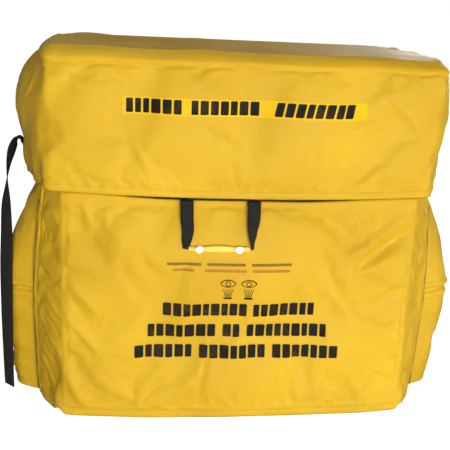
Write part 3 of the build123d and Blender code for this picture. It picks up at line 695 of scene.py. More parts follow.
@dataclass
class HoodCover:
    """The padded vinyl hood: four sides, a rolled top edge and a flat top."""

    thickness: float = 6.5 * MM
    roll: float = 17 * MM
    edge_columns: tuple[int, ...] = (110, 16, 30, 8, 50, 8, 30, 16)
    side_rows: int = 64
    top_rows: int = 22
    low: Vector = field(default_factory=lambda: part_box("hood_cover")[0])
    high: Vector = field(default_factory=lambda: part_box("hood_cover")[1])

    def outline(self, z: float) -> tuple[list[tuple[float, float]], list[float]]:
        """The hood's corners and their rounding at a height.

        Args:
            z: Height, in metres.

        Returns:
            Corners from the front left, and how far each one's rounding reaches.
        """
        height = self.high.z - self.low.z
        t = (z - self.low.z) / height
        wide, front, back = self.high.x, self.low.y, self.high.y
        flare = [
            (0.0, wide - 13 * MM), (0.26, wide - 6 * MM), (0.55, wide + 3 * MM), (0.78, wide - 10 * MM),
            (0.92, wide - 36 * MM), (1.0, wide - 52 * MM),
        ]
        side = float(level_curve(np.array(t), flare))
        slack = 12 * MM * math.sin(math.pi * min(1.0, t / 0.92)) * float(smooth_step(np.array(t), 0.1, 0.4))
        face = wide - 55 * MM - 9 * MM * float(smooth_step(np.array(t), 0.92, 1.0))
        lean = 4 * MM * t + self.roll * float(smooth_step(np.array(t), 0.915, 1.0))
        tuck = 7 * MM * float(smooth_step(np.array(t), 0.75, 0.15))
        shoulder = float(smooth_step(np.array(t), 0.8, 1.0))
        rear = wide - 34 * MM - 28 * MM * shoulder
        y0, y1 = front + lean, back - 26 * MM * shoulder
        corners = [
            (-face, y0), (face - tuck, y0), (side - slack - tuck * 0.5, front + 112 * MM),
            (side - slack, back - 48 * MM - 20 * MM * shoulder),
            (rear, y1), (-rear, y1), (-side, back - 48 * MM - 20 * MM * shoulder), (-side, front + 112 * MM),
        ]
        soft = [13 * MM, 13 * MM, 46 * MM, 24 * MM, 22 * MM, 22 * MM, 24 * MM, 46 * MM]
        return corners, soft

    def hem(self, x: Points, y: Points) -> Points:
        """How far the hem is drawn up from the hood's lowest edge."""
        front = smooth_step(y, self.low.y + 60 * MM, self.low.y + 10 * MM)
        across = np.abs(x) / 0.29
        return front * (8 * MM * across**2.4 - 0.5 * MM) + (1 - front) * 5 * MM

    def grid(self) -> Points:
        """The smooth hood, before its folds."""
        rise = self.high.z - self.low.z
        share = np.concatenate([
            np.linspace(0, 0.9, self.side_rows, endpoint=False), np.linspace(0.9, 1.0, 16),
        ])
        rows = []
        for t in share:
            z = self.low.z + t * rise
            ring = rounded_path(*self.outline(z), self.edge_columns, 6, True)
            lift = self.hem(ring[:, 0], ring[:, 1]) * (1 - t) ** 3
            rows.append(np.column_stack([ring, np.full(len(ring), z) + lift]))
        rim = rows[-1]
        middle_y = (rim[:, 1].min() + rim[:, 1].max()) / 2
        pitch = 12 * MM
        spine_x = np.round(np.clip(rim[:, 0] * 0.62, -0.17, 0.17) / pitch) * pitch
        spine = np.column_stack([spine_x, np.full(len(rim), middle_y), np.full(len(rim), self.high.z)])
        for t in np.linspace(0, 1, self.top_rows)[1:]:
            ease = 1 - (1 - t) ** 1.15
            crown = 0.5 * MM * math.sin(ease * math.pi / 2) - 2.5 * MM * math.sin(ease * math.pi)
            row = rim + (spine - rim) * ease
            row[:, 2] = rim[:, 2] + crown
            rows.append(row)
        whole = np.array(rows)
        near_top = smooth_step(whole[..., 2], self.high.z - 40 * MM, self.high.z - 4 * MM)
        falling = 7 * MM * smooth_step(whole[..., 1], 0.03, 0.17)
        falling = falling + 2 * MM * smooth_step(whole[..., 0], -0.05, 0.28)
        whole[..., 2] -= falling * near_top
        return whole

    def shape(self, sheet: PaddedSheet) -> None:
        """Adds the hood's folds, dents and seams."""
        x, y, z = np.moveaxis(sheet.grid, 2, 0)
        normal = sheet.normals()
        facing = np.clip(-normal[..., 1], 0, 1) ** 2
        sideways = np.clip(np.abs(normal[..., 0]), 0, 1) ** 2
        above = np.clip(normal[..., 2], 0, 1)
        crease = self.high.z - self.roll
        middle = np.sin(np.clip((z - self.low.z) / (crease - self.low.z), 0, 1) * math.pi)
        amount = facing * middle * (3.0 * MM + 1.5 * MM * ripple(x, z, 3, 0.16))
        amount += facing * pulled([
            Fold((-0.02, 0.40), (0.13, 0.46), 0.045, 2.6 * MM),
            Fold((0.16, 0.375), (0.25, 0.47), 0.035, -2.8 * MM),
            Fold((-0.25, 0.385), (-0.16, 0.43), 0.022, -2.2 * MM),
            Fold((-0.27, 0.44), (-0.20, 0.54), 0.03, 1.8 * MM),
            Fold((0.02, 0.365), (0.20, 0.385), 0.012, 1.6 * MM),
            Fold((-0.21, 0.555), (-0.19, 0.568), 0.005, 2.2 * MM),
            Fold((-0.125, 0.556), (-0.10, 0.568), 0.006, 1.8 * MM),
            Fold((-0.275, 0.553), (-0.255, 0.568), 0.006, -2.0 * MM),
        ], x, z)
        side = np.sign(x)
        amount += sideways * pulled([
            Fold((-0.12, 0.40), (0.02, 0.53), 0.022, -6 * MM),
            Fold((-0.06, 0.37), (0.06, 0.43), 0.016, 5 * MM),
            Fold((0.05, 0.41), (0.16, 0.53), 0.025, -6 * MM),
            Fold((-0.15, 0.50), (-0.02, 0.555), 0.014, 5 * MM),
            Fold((0.08, 0.37), (0.17, 0.39), 0.013, 4 * MM),
            Fold((-0.10, 0.455), (0.10, 0.475), 0.018, 4 * MM),
        ], y + side * 0.012, z)
        amount += sideways * 2.6 * MM * ripple(y, z + side * 0.2, 11, 0.075)
        amount += above * (1 - facing) * 1.6 * MM * ripple(x, y, 21, 0.13)
        crest = np.exp(-(((z - crease) / (2.6 * MM)) ** 2)) * (1 - above * 0.5)
        strip = np.clip((z - crease) / self.roll, 0, 1)
        tube = np.sin(strip * math.pi) ** 0.8
        amount += 1.2 * MM * crest + np.where(above < 0.97, 1, 0) * 3.2 * MM * tube
        amount -= 1.8 * MM * np.exp(-(((z - crease + 5 * MM) / (2.6 * MM)) ** 2)) * (1 - above)
        hem_line = self.low.z + self.hem(x, y) + 11 * MM
        amount -= 1.2 * MM * np.exp(-(((z - hem_line) / (2.0 * MM)) ** 2))
        amount += 0.8 * MM * np.exp(-(((z - hem_line + 6 * MM) / (4.0 * MM)) ** 2))
        amount += 0.5 * MM * np.sin(np.where(sideways > 0.5, y, x) * math.tau / 0.021) * np.exp(
            -(((z - hem_line) / (5.0 * MM)) ** 2))
        sheet.push(amount)

    def build(self) -> bpy.types.Object:
        """Makes the hood."""
        sheet = PaddedSheet(self.grid(), closed=True, roof_from=self.side_rows + 16)
        self.shape(sheet)
        over_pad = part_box("hood_pad")[1].z + 1.6 * MM
        roof = sheet.grid[self.side_rows + 13:]
        roof[..., 2] = np.maximum(roof[..., 2], over_pad)
        piece = sheet.piece("hood_jacket", self.thickness, flat_top=True)
        hem, shoulder = self.low.z + 14 * MM, self.high.z - 22 * MM
        settle(piece, lambda p: 1.0 if p.z < hem or p.z > shoulder else 0.0)
        dress(piece, Finish.VINYL)
        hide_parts("hood_cover")
        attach(piece, "hood")
        return piece


@dataclass
class DoorCover:
    """The padded cover of the drop-down front, with bands that wrap back at both sides."""

    thickness: float = 5.0 * MM
    rows: int = 120
    crease_half: float = 0.270
    band_steps: int = 30
    front_steps: int = 150
    low: Vector = field(default_factory=lambda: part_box("front_flap")[0])
    high: Vector = field(default_factory=lambda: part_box("front_flap")[1])

    def front(self, z: float) -> float:
        """Where the front stands at a height."""
        lean = 28 * MM
        return self.low.y + lean * (z - 5 * MM) / (self.high.z - 5 * MM)

    def grid(self) -> Points:
        """The smooth cover, before its folds."""
        bottom, top = self.low.z - 7.2 * MM, self.high.z + 1.0 * MM
        rows = []
        for t in np.linspace(0, 1, self.rows):
            z = bottom + (top - bottom) * t
            band = float(level_curve(np.array(z), [
                (0.0, self.high.x - 2 * MM), (0.10, self.high.x), (0.19, self.high.x),
                (0.30, self.high.x - 9 * MM), (0.36, self.high.x - 17 * MM),
            ]))
            foot = float(smooth_step(np.array(z), 0.06, 0.0))
            crease = self.crease_half + 8 * MM * foot
            y0 = self.front(z)
            keep = band - 26 * MM
            rear = self.high.y - 1 * MM
            corners = [(-keep, rear), (-band, rear), (-crease, y0), (crease, y0), (band, rear), (keep, rear)]
            soft = [0, 5 * MM, 15 * MM, 15 * MM, 5 * MM, 0]
            edges = (6, self.band_steps, self.front_steps, self.band_steps, 6)
            path = rounded_path(corners, soft, edges, 9, False)
            lift = self.hem(path[:, 0]) * (1 - t) ** 6
            rise = 9 * MM * smooth_step(np.abs(path[:, 0]), 0.08, 0.26) * t**8
            rows.append(np.column_stack([path, z + lift + rise]))
        return np.array(rows)

    def hem(self, x: Points) -> Points:
        """How far the lower edge is drawn up: it dips in the middle, and is notched at each crease."""
        side = np.abs(x)
        front = 3.5 * MM * np.clip(side / self.crease_half, 0, 1) ** 3
        notch = 9 * MM * np.exp(-(((side - self.crease_half - 9 * MM) / (7 * MM)) ** 2))
        tip = -1.0 * MM * smooth_step(side, self.crease_half + 14 * MM, self.crease_half + 30 * MM)
        return front + notch + tip

    def shape(self, sheet: PaddedSheet) -> None:
        """Adds the cover's bulge, folds, puckers and hems."""
        x, y, z = np.moveaxis(sheet.grid, 2, 0)
        normal = sheet.normals()
        facing = np.clip(-normal[..., 1] * 1.25 - 0.2, 0, 1)
        band = (1 - facing) * smooth_step(normal[..., 1], 0.6, 0.2)
        span = np.clip(1 - (x / (self.crease_half - 6 * MM)) ** 2, 0, 1)
        amount = facing * 5 * MM * span**0.6 * np.clip(np.sin(np.clip(z / 0.34, 0, 1) * math.pi), 0, 1) ** 0.6
        amount += facing * 7.5 * MM * span**0.7 * np.exp(-(((z - 0.012) / 0.06) ** 2))
        amount += facing * 1.3 * MM * ripple(x, z, 5, 0.15)
        amount += pulled([
            Fold((-0.215, 0.335), (-0.135, 0.205), 0.018, 6.0 * MM),
            Fold((-0.255, 0.330), (-0.195, 0.235), 0.014, -5.5 * MM),
            Fold((-0.24, 0.350), (-0.225, 0.300), 0.008, 3.5 * MM),
            Fold((-0.100, 0.345), (-0.135, 0.280), 0.012, -3.5 * MM),
            Fold((-0.262, 0.235), (-0.215, 0.165), 0.008, 3.2 * MM),
            Fold((-0.262, 0.205), (-0.222, 0.140), 0.007, -2.8 * MM),
            Fold((-0.268, 0.175), (-0.214, 0.105), 0.009, 3.0 * MM),
            Fold((-0.272, 0.130), (-0.235, 0.055), 0.010, -3.4 * MM),
            Fold((-0.274, 0.095), (-0.240, 0.020), 0.010, 3.0 * MM),
            Fold((0.165, 0.262), (0.268, 0.338), 0.010, 5.5 * MM),
            Fold((0.180, 0.245), (0.270, 0.312), 0.008, -4.6 * MM),
            Fold((0.150, 0.222), (0.268, 0.280), 0.013, 4.4 * MM),
            Fold((0.08, 0.338), (0.20, 0.300), 0.012, -3.6 * MM),
            Fold((0.200, 0.175), (0.268, 0.215), 0.012, -3.0 * MM),
            Fold((0.235, 0.150), (0.264, 0.04), 0.016, -4.4 * MM),
            Fold((-0.05, 0.09), (0.14, 0.06), 0.03, 1.8 * MM),
        ], x, z) * np.clip(facing * 1.2, 0, 1)
        left, right = x < 0, x > 0
        puckers = [
            Fold((-0.150, 0.205), (-0.185, 0.180), 0.0045, -3.0 * MM),
            Fold((-0.150, 0.192), (-0.188, 0.158), 0.0050, 3.2 * MM),
            Fold((-0.148, 0.168), (-0.188, 0.130), 0.0050, -3.0 * MM),
            Fold((-0.140, 0.150), (-0.185, 0.100), 0.0055, 3.2 * MM),
            Fold((-0.145, 0.110), (-0.190, 0.055), 0.0060, -3.4 * MM),
            Fold((-0.140, 0.080), (-0.190, 0.020), 0.0065, 3.4 * MM),
            Fold((-0.135, 0.260), (-0.165, 0.215), 0.0070, 1.8 * MM),
        ]
        amount += band * left * pulled(puckers, y, z)
        amount += band * right * pulled([
            Fold((-0.130, 0.200), (-0.180, 0.196), 0.004, 2.2 * MM),
            Fold((-0.130, 0.180), (-0.180, 0.172), 0.004, -2.2 * MM),
            Fold((-0.132, 0.150), (-0.180, 0.145), 0.004, 1.8 * MM),
            Fold((-0.140, 0.330), (-0.150, 0.240), 0.005, 1.5 * MM),
            Fold((-0.165, 0.060), (-0.175, 0.010), 0.006, 2.6 * MM),
        ], y, z)
        amount += band * 1.2 * MM * ripple(y, z, 8, 0.045)
        ridge = np.exp(-(((np.abs(x) - self.crease_half) / (4 * MM)) ** 2))
        amount += ridge * 1.0 * MM * (1 + 0.6 * ripple(z, z * 0, 14, 0.05))
        edge = self.high.y - y
        amount -= 1.2 * MM * np.exp(-(((edge - 9 * MM) / (1.6 * MM)) ** 2))
        hem_line = self.low.z + 5 * MM + self.hem(x)
        amount -= 1.1 * MM * np.exp(-(((z - hem_line) / (1.8 * MM)) ** 2))
        sheet.push(amount)

    def sewn(self, place: Vector) -> float:
        """How firmly the cover is sewn down at a point: at its hems and along both creases."""
        above_foot = place.z - self.low.z - 10 * MM
        below_top = self.high.z - 10 * MM - place.z
        before_edge = self.high.y - 12 * MM - place.y
        if min(above_foot, below_top, before_edge) < 0:
            return 1.0
        return 0.6 if abs(abs(place.x) - self.crease_half) < 5 * MM else 0.0

    def build(self) -> bpy.types.Object:
        """Makes the door's cover."""
        sheet = PaddedSheet(self.grid(), closed=False)
        self.shape(sheet)
        piece = sheet.piece("door_jacket", self.thickness)
        settle(piece, self.sewn)
        dress(piece, Finish.VINYL)
        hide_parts("front_flap")
        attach(piece, "door")
        return piece


@dataclass
class LowerJacket:
    """The padded side panels and back, with a fold at the widest height of each side."""

    thickness: float = 5.0 * MM
    rows: int = 110
    belly: float = 0.186
    low: Vector = field(default_factory=lambda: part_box("side_panel_left")[0])
    high: Vector = field(default_factory=lambda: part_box("back_panel")[1])

    def side_half(self, z: Points) -> Points:
        """Half width at the sides by height."""
        wide = self.high.x
        return level_curve(z, [
            (0.0, wide - 13 * MM), (0.09, wide - 4 * MM), (self.belly - 4 * MM, wide),
            (self.belly + 6 * MM, wide - 1 * MM), (0.28, wide - 28 * MM), (0.366, wide - 66 * MM),
        ])

    def grid(self) -> Points:
        """The smooth U of both sides and the back, before its folds."""
        front, back = self.low.y, self.high.y
        rows = []
        for t in np.linspace(0, 1, self.rows):
            z = 2.5 * MM + (self.high.z - 2.5 * MM) * t
            side = float(self.side_half(np.array(z)))
            flange = min(self.high.x - 52 * MM, side - 22 * MM)
            tail = back - 18 * MM * float(smooth_step(np.array(z), 0.315, 0.366))
            keep = flange - 22 * MM
            right = [(keep, front + 1 * MM), (flange, front), (side, front + 20 * MM), (side, tail - 26 * MM),
                     (side - 26 * MM, tail)]
            corners = [*right, *[(-x, y) for x, y in reversed(right)]]
            soft = [0, 8 * MM, 20 * MM, 10 * MM, 10 * MM]
            path = rounded_path(corners, [*soft, *reversed(soft)], (5, 16, 62, 8, 90, 8, 62, 16, 5), 6, False)
            rows.append(np.column_stack([path, np.full(len(path), z)]))
        return np.array(rows)

    def shape(self, sheet: PaddedSheet) -> None:
        """Adds the belly fold, the dart in front of it, and the wrinkles below."""
        x, y, z = np.moveaxis(sheet.grid, 2, 0)
        normal = sheet.normals()
        sideways = np.clip(np.abs(normal[..., 0]), 0, 1) ** 1.5
        forward = np.clip(-normal[..., 1], 0, 1)
        behind = np.clip(normal[..., 1], 0, 1)
        left = (x < 0) * 1.0
        flank = np.clip(sideways + forward, 0, 1)
        amount = sideways * 3 * MM * np.sin(np.clip((y - self.low.y) / 0.3, 0, 1) * math.pi) ** 0.5
        amount += flank * (5.0 * MM * np.exp(-(((z - self.belly - 5 * MM) / (5 * MM)) ** 2))
                           - 5.5 * MM * np.exp(-(((z - self.belly + 4 * MM) / (2.6 * MM)) ** 2))
                           + 3.0 * MM * np.exp(-(((z - self.belly + 13 * MM) / (7 * MM)) ** 2)))
        amount += flank * left * pulled([
            Fold((-0.112, 0.155), (-0.060, 0.110), 0.006, 3.5 * MM),
            Fold((-0.112, 0.135), (-0.050, 0.085), 0.007, -3.5 * MM),
            Fold((-0.112, 0.105), (-0.040, 0.060), 0.008, 3.5 * MM),
            Fold((-0.110, 0.075), (-0.030, 0.035), 0.008, -3.0 * MM),
            Fold((-0.110, 0.050), (-0.040, 0.015), 0.008, 3.0 * MM),
            Fold((-0.085, 0.350), (-0.070, 0.215), 0.010, 2.6 * MM),
        ], y, z)
        amount += flank * (1 - left) * pulled([
            Fold((-0.080, 0.350), (-0.066, 0.215), 0.012, 2.2 * MM),
            Fold((-0.112, 0.120), (-0.050, 0.040), 0.012, -2.2 * MM),
            Fold((-0.085, 0.170), (-0.060, 0.060), 0.012, 2.0 * MM),
        ], y, z)
        amount += sideways * 2.4 * MM * ripple(y, z, 31, 0.07) * smooth_step(y, -0.10, -0.02)
        amount += behind * 1.8 * MM * ripple(x, z, 41, 0.12)
        seam = np.exp(-(((y - (self.high.y - 30 * MM)) / (2.2 * MM)) ** 2)) * sideways
        amount -= 1.6 * MM * seam
        amount -= 1.0 * MM * np.exp(-(((z - 13 * MM) / (1.8 * MM)) ** 2))
        floor = np.where(flank * (np.abs(z - self.belly) < 12 * MM) > 0.3, -5.5 * MM, -2.0 * MM)
        sheet.push(np.maximum(amount, floor))

    def sewn(self, place: Vector) -> float:
        """How firmly a panel is sewn down at a point: at its edges, its rear seam and its belly fold."""
        edge = min(place.z - 16 * MM, self.high.z - 14 * MM - place.z)
        front = place.y - self.low.y - 14 * MM
        seam = abs(place.y - self.high.y + 30 * MM) - 6 * MM
        if min(edge, front, seam) < 0:
            return 1.0
        return 0.8 if abs(place.z - self.belly) < 14 * MM else 0.0

    def build(self) -> list[bpy.types.Object]:
        """Makes the left, back and right panels from one continuous shape."""
        whole = PaddedSheet(self.grid(), closed=False)
        self.shape(whole)
        middle = whole.grid[self.rows // 3]
        seam_y = self.high.y - 30 * MM
        is_side = middle[:, 1] < seam_y
        right_end = int(np.argmax(~is_side))
        left_start = len(is_side) - int(np.argmax(~is_side[::-1]))
        parts = {
            "side_jacket_right": (slice(0, right_end + 1), ["side_panel_right"]),
            "back_jacket": (slice(right_end, left_start + 1), ["back_panel"]),
            "side_jacket_left": (slice(left_start, len(is_side)), ["side_panel_left"]),
        }
        made = []
        for name, (columns, nodes) in parts.items():
            piece = PaddedSheet(whole.grid[:, columns], closed=False).piece(name, self.thickness)
            dress(piece, Finish.VINYL)
            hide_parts(*nodes)
            settle(piece, self.sewn)
            made.append(piece)
        self.open_back(made[1])
        for piece in made:
            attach(piece, "housing")
        return made

    def open_back(self, back: bpy.types.Object) -> None:
        """Cuts the round holes for the grommets and the drain cap through the back panel."""
        low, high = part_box("back_grommets")
        cap_low, cap_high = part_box("drain_cap")
        ring = 10.4 * MM
        inset = 14 * MM
        spots = [(x, z, ring) for x in (low.x + inset, high.x - inset)
                 for z in (low.z + inset, high.z - inset)]
        spots.append(((cap_low.x + cap_high.x) / 2, (cap_low.z + cap_high.z) / 2, 28 * MM))
        cutter = bmesh.new()
        for x, z, radius in spots:
            turn = Matrix.Translation((x, self.high.y - 5 * MM, z)) @ Matrix.Rotation(math.pi / 2, 4, "X")
            bmesh.ops.create_cone(cutter, cap_ends=True, segments=40, radius1=radius, radius2=radius,
                                  depth=60 * MM, matrix=turn)
        mesh = bpy.data.meshes.new("back_cutter")
        cutter.to_mesh(mesh)
        cutter.free()
        tool = new_piece("back_cutter", mesh)
        cut = back.modifiers.new("holes", "BOOLEAN")
        cut.operation, cut.object, cut.solver = "DIFFERENCE", tool, "EXACT"
        result = bpy.data.meshes.new_from_object(back.evaluated_get(bpy.context.evaluated_depsgraph_get()))
        back.modifiers.remove(cut)
        back.data = result
        bpy.data.objects.remove(tool)


# === webbing ====================================================================================
@dataclass(frozen=True)
class Station:
    """One place along a strap.

    Attributes:
        place: The middle of the strap, in metres.
        turn: The strap's width direction, in degrees from the depth axis towards the side.
        width: How wide it is there.
    """

    place: tuple[float, float, float]
    turn: float
    width: float


def smooth_through(values: Points, steps: int) -> Points:
    """Catmull-Rom samples through rows of values.

    Args:
        values: The rows to pass through.
        steps: Samples between two rows.

    Returns:
        The samples, ends included.
    """
    padded = np.vstack([2 * values[0] - values[1], values, 2 * values[-1] - values[-2]])
    out = []
    for i in range(1, len(padded) - 2):
        a, b, c, d = padded[i - 1 : i + 3]
        for t in np.linspace(0, 1, steps, endpoint=False):
            out.append(0.5 * (2 * b + (c - a) * t + (2 * a - 5 * b + 4 * c - d) * t**2
                              + (3 * b - a - 3 * c + d) * t**3))
    out.append(values[-1])
    return np.array(out)


def strap_piece(name: str, stations: Sequence[Station], thickness: float, side: int,
                steps: int = 12) -> bpy.types.Object:
    """A flat strap that follows its stations and twists as they say.

    Args:
        name: The piece's name.
        stations: Places along the strap, from end to end.
        thickness: The webbing's thickness.
        side: 1 on the right and -1 on the left, where the route is mirrored.
        steps: Samples between two stations.

    Returns:
        The strap, with a map in metres along and across it.
    """
    rows = np.array([(*s.place, s.turn, s.width) for s in stations], float)
    rows[:, 0] *= side
    rows[:, 3] *= side
    line = smooth_through(rows, steps)
    centre, turns, widths = line[:, :3], np.radians(line[:, 3]), line[:, 4]
    tangent = np.gradient(centre, axis=0)
    tangent /= np.linalg.norm(tangent, axis=1, keepdims=True)
    across = np.column_stack([np.sin(turns), np.cos(turns), np.zeros(len(turns))])
    across -= tangent * np.sum(across * tangent, 1, keepdims=True)
    across /= np.linalg.norm(across, axis=1, keepdims=True)
    out = np.cross(tangent, across)
    profile = [(-0.5, 0.0), (-0.47, 0.42), (-0.25, 0.5), (0, 0.5), (0.25, 0.5), (0.47, 0.42),
               (0.5, 0.0), (0.47, -0.42), (0.25, -0.5), (0, -0.5), (-0.25, -0.5), (-0.47, -0.42)]
    ring = np.array(profile)
    n, m = len(line), len(ring)
    vertices = (centre[:, None] + across[:, None] * (ring[None, :, :1] * widths[:, None, None])
                + out[:, None] * (ring[None, :, 1:] * thickness)).reshape(-1, 3)
    run = np.concatenate([[0], np.cumsum(np.linalg.norm(np.diff(centre, axis=0), axis=1))])
    faces, uvs = [], []
    for r in range(n - 1):
        for c in range(m):
            d = (c + 1) % m
            faces.append((r * m + c, r * m + d, (r + 1) * m + d, (r + 1) * m + c))
            xs = ring[c][0] * widths[r], ring[d][0] * widths[r]
            uvs.append(((xs[0], run[r]), (xs[1], run[r]), (xs[1], run[r + 1]), (xs[0], run[r + 1])))
    faces += [tuple(reversed(range(m))), tuple((n - 1) * m + c for c in range(m))]
    uvs += [tuple((ring[c][0] * widths[0], 0) for c in reversed(range(m))),
            tuple((ring[c][0] * widths[-1], run[-1]) for c in range(m))]
    mesh = bpy.data.meshes.new(name)
    mesh.from_pydata([tuple(v) for v in vertices], [], faces)
    layer = mesh.uv_layers.new(name="cloth")
    layer.data.foreach_set("uv", np.array([xy for corner in uvs for xy in corner], np.float32).ravel())
    tidy = bmesh.new()
    tidy.from_mesh(mesh)
    bmesh.ops.recalc_face_normals(tidy, faces=tidy.faces)
    tidy.to_mesh(mesh)
    tidy.free()
    mesh.polygons.foreach_set("use_smooth", [True] * len(mesh.polygons))
    return new_piece(name, mesh)


@dataclass
class SideStraps:
    """The black webbing at each side, from the hood's patch down to the jacket's foot."""

    panel: bpy.types.Object
    thickness: float = 1.7 * MM
    width: float = 24 * MM

    def loose(self, low: Vector, high: Vector) -> list[Station]:
        """The left route: up over the patch, then turned flat across the front corner of the panel."""
        x, top, front, w = high.x, high.z, low.y, self.width
        back = high.y - w / 2

        def at(inward: float, y: float, drop: float, turn: float, share: float = 1.0) -> Station:
            return Station((x - inward * MM, y, top - drop * MM), turn, w * share)

        return [
            at(40.6, back, 40, 0), at(39.0, back, 25, 0), at(36.6, back, 14, 0),
            at(31.0, back - 2 * MM, 9, -14),
            at(25.0, back - 7 * MM, 14, -22, 1.0), at(19.5, back - 14 * MM, 29, -22, 1.0),
            at(15.5, back - 21 * MM, 50, -6, 0.9), at(13.0, back - 28 * MM, 80, 20, 0.93),
            at(12.4, back - 38 * MM, 112, 48, 0.97), at(12.6, front + 15 * MM, 160, 60),
            at(12.2, front + 3 * MM, 205, 62),
            at(11.8, front - 2 * MM, 250, 62), at(10.6, front - 3 * MM, 300, 58),
            at(9.8, front - 3 * MM, 350, 54),
            at(9.0, front - 2 * MM, 395, 50), at(9.0, front - 2 * MM, (top - low.z) / MM + 3, 48),
        ]

    def snug(self, low: Vector, high: Vector) -> list[Station]:
        """The right route: a low loop, then down close against the panel."""
        x, top, w = high.x, high.z, self.width
        back = high.y - w / 2
        tree = BVHTree.FromObject(self.panel, bpy.context.evaluated_depsgraph_get())

        def at(inward: float, y: float, drop: float, turn: float) -> Station:
            return Station((x - inward * MM, y, top - drop * MM), turn, w)

        loop = [
            at(40.6, back, 36, 0), at(39.6, back, 26, 0), at(38.4, back, 20, 2), at(36.8, back, 19, 4),
            at(36.4, back - 1 * MM, 27, 5), at(36.6, back - 2 * MM, 42, 4),
        ]
        leave, foot = loop[-1].place, low.z - 2 * MM
        run = []
        for z in np.linspace(leave[2] - 16 * MM, foot, 22):
            y = leave[1] - 14 * MM * float(smooth_step(np.array(leave[2] - z), 0, 0.12))
            probes = [Vector((1.0, y + side * w / 2, max(z, 4 * MM))) for side in (-1, -0.5, 0, 0.5, 1)]
            met = [tree.ray_cast(probe, Vector((-1, 0, 0)))[0] for probe in probes]
            hits = [hit.x for hit in met if hit]
            hang = leave[0] - 0.4 * (leave[2] - z)
            run.append(Station((max([hang] + [hit + 1.5 * MM for hit in hits]), y, z), 2, w))
        return loop + run

    def build(self) -> list[bpy.types.Object]:
        """Makes both straps."""
        made = []
        low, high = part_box("side_strap_right")
        for name, side, route in (("left", -1, self.loose), ("right", 1, self.snug)):
            piece = strap_piece(f"webbing_strap_{name}", route(low, high), self.thickness, side)
            dress(piece, Finish.STRAP)
            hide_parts(f"side_strap_{name}")
            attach(piece, "housing")
            made.append(piece)
            if side < 0:
                continue
            pile = 1.9 * MM
            pad = [Station((s.place[0] - pile, *s.place[1:]), s.turn, s.width) for s in route(low, high)[6:8]]
            loop = strap_piece(f"loop_pad_{name}", pad, pile, side)
            dress(loop, Finish.LOOP)
            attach(loop, "housing")
            made.append(loop)
        return made


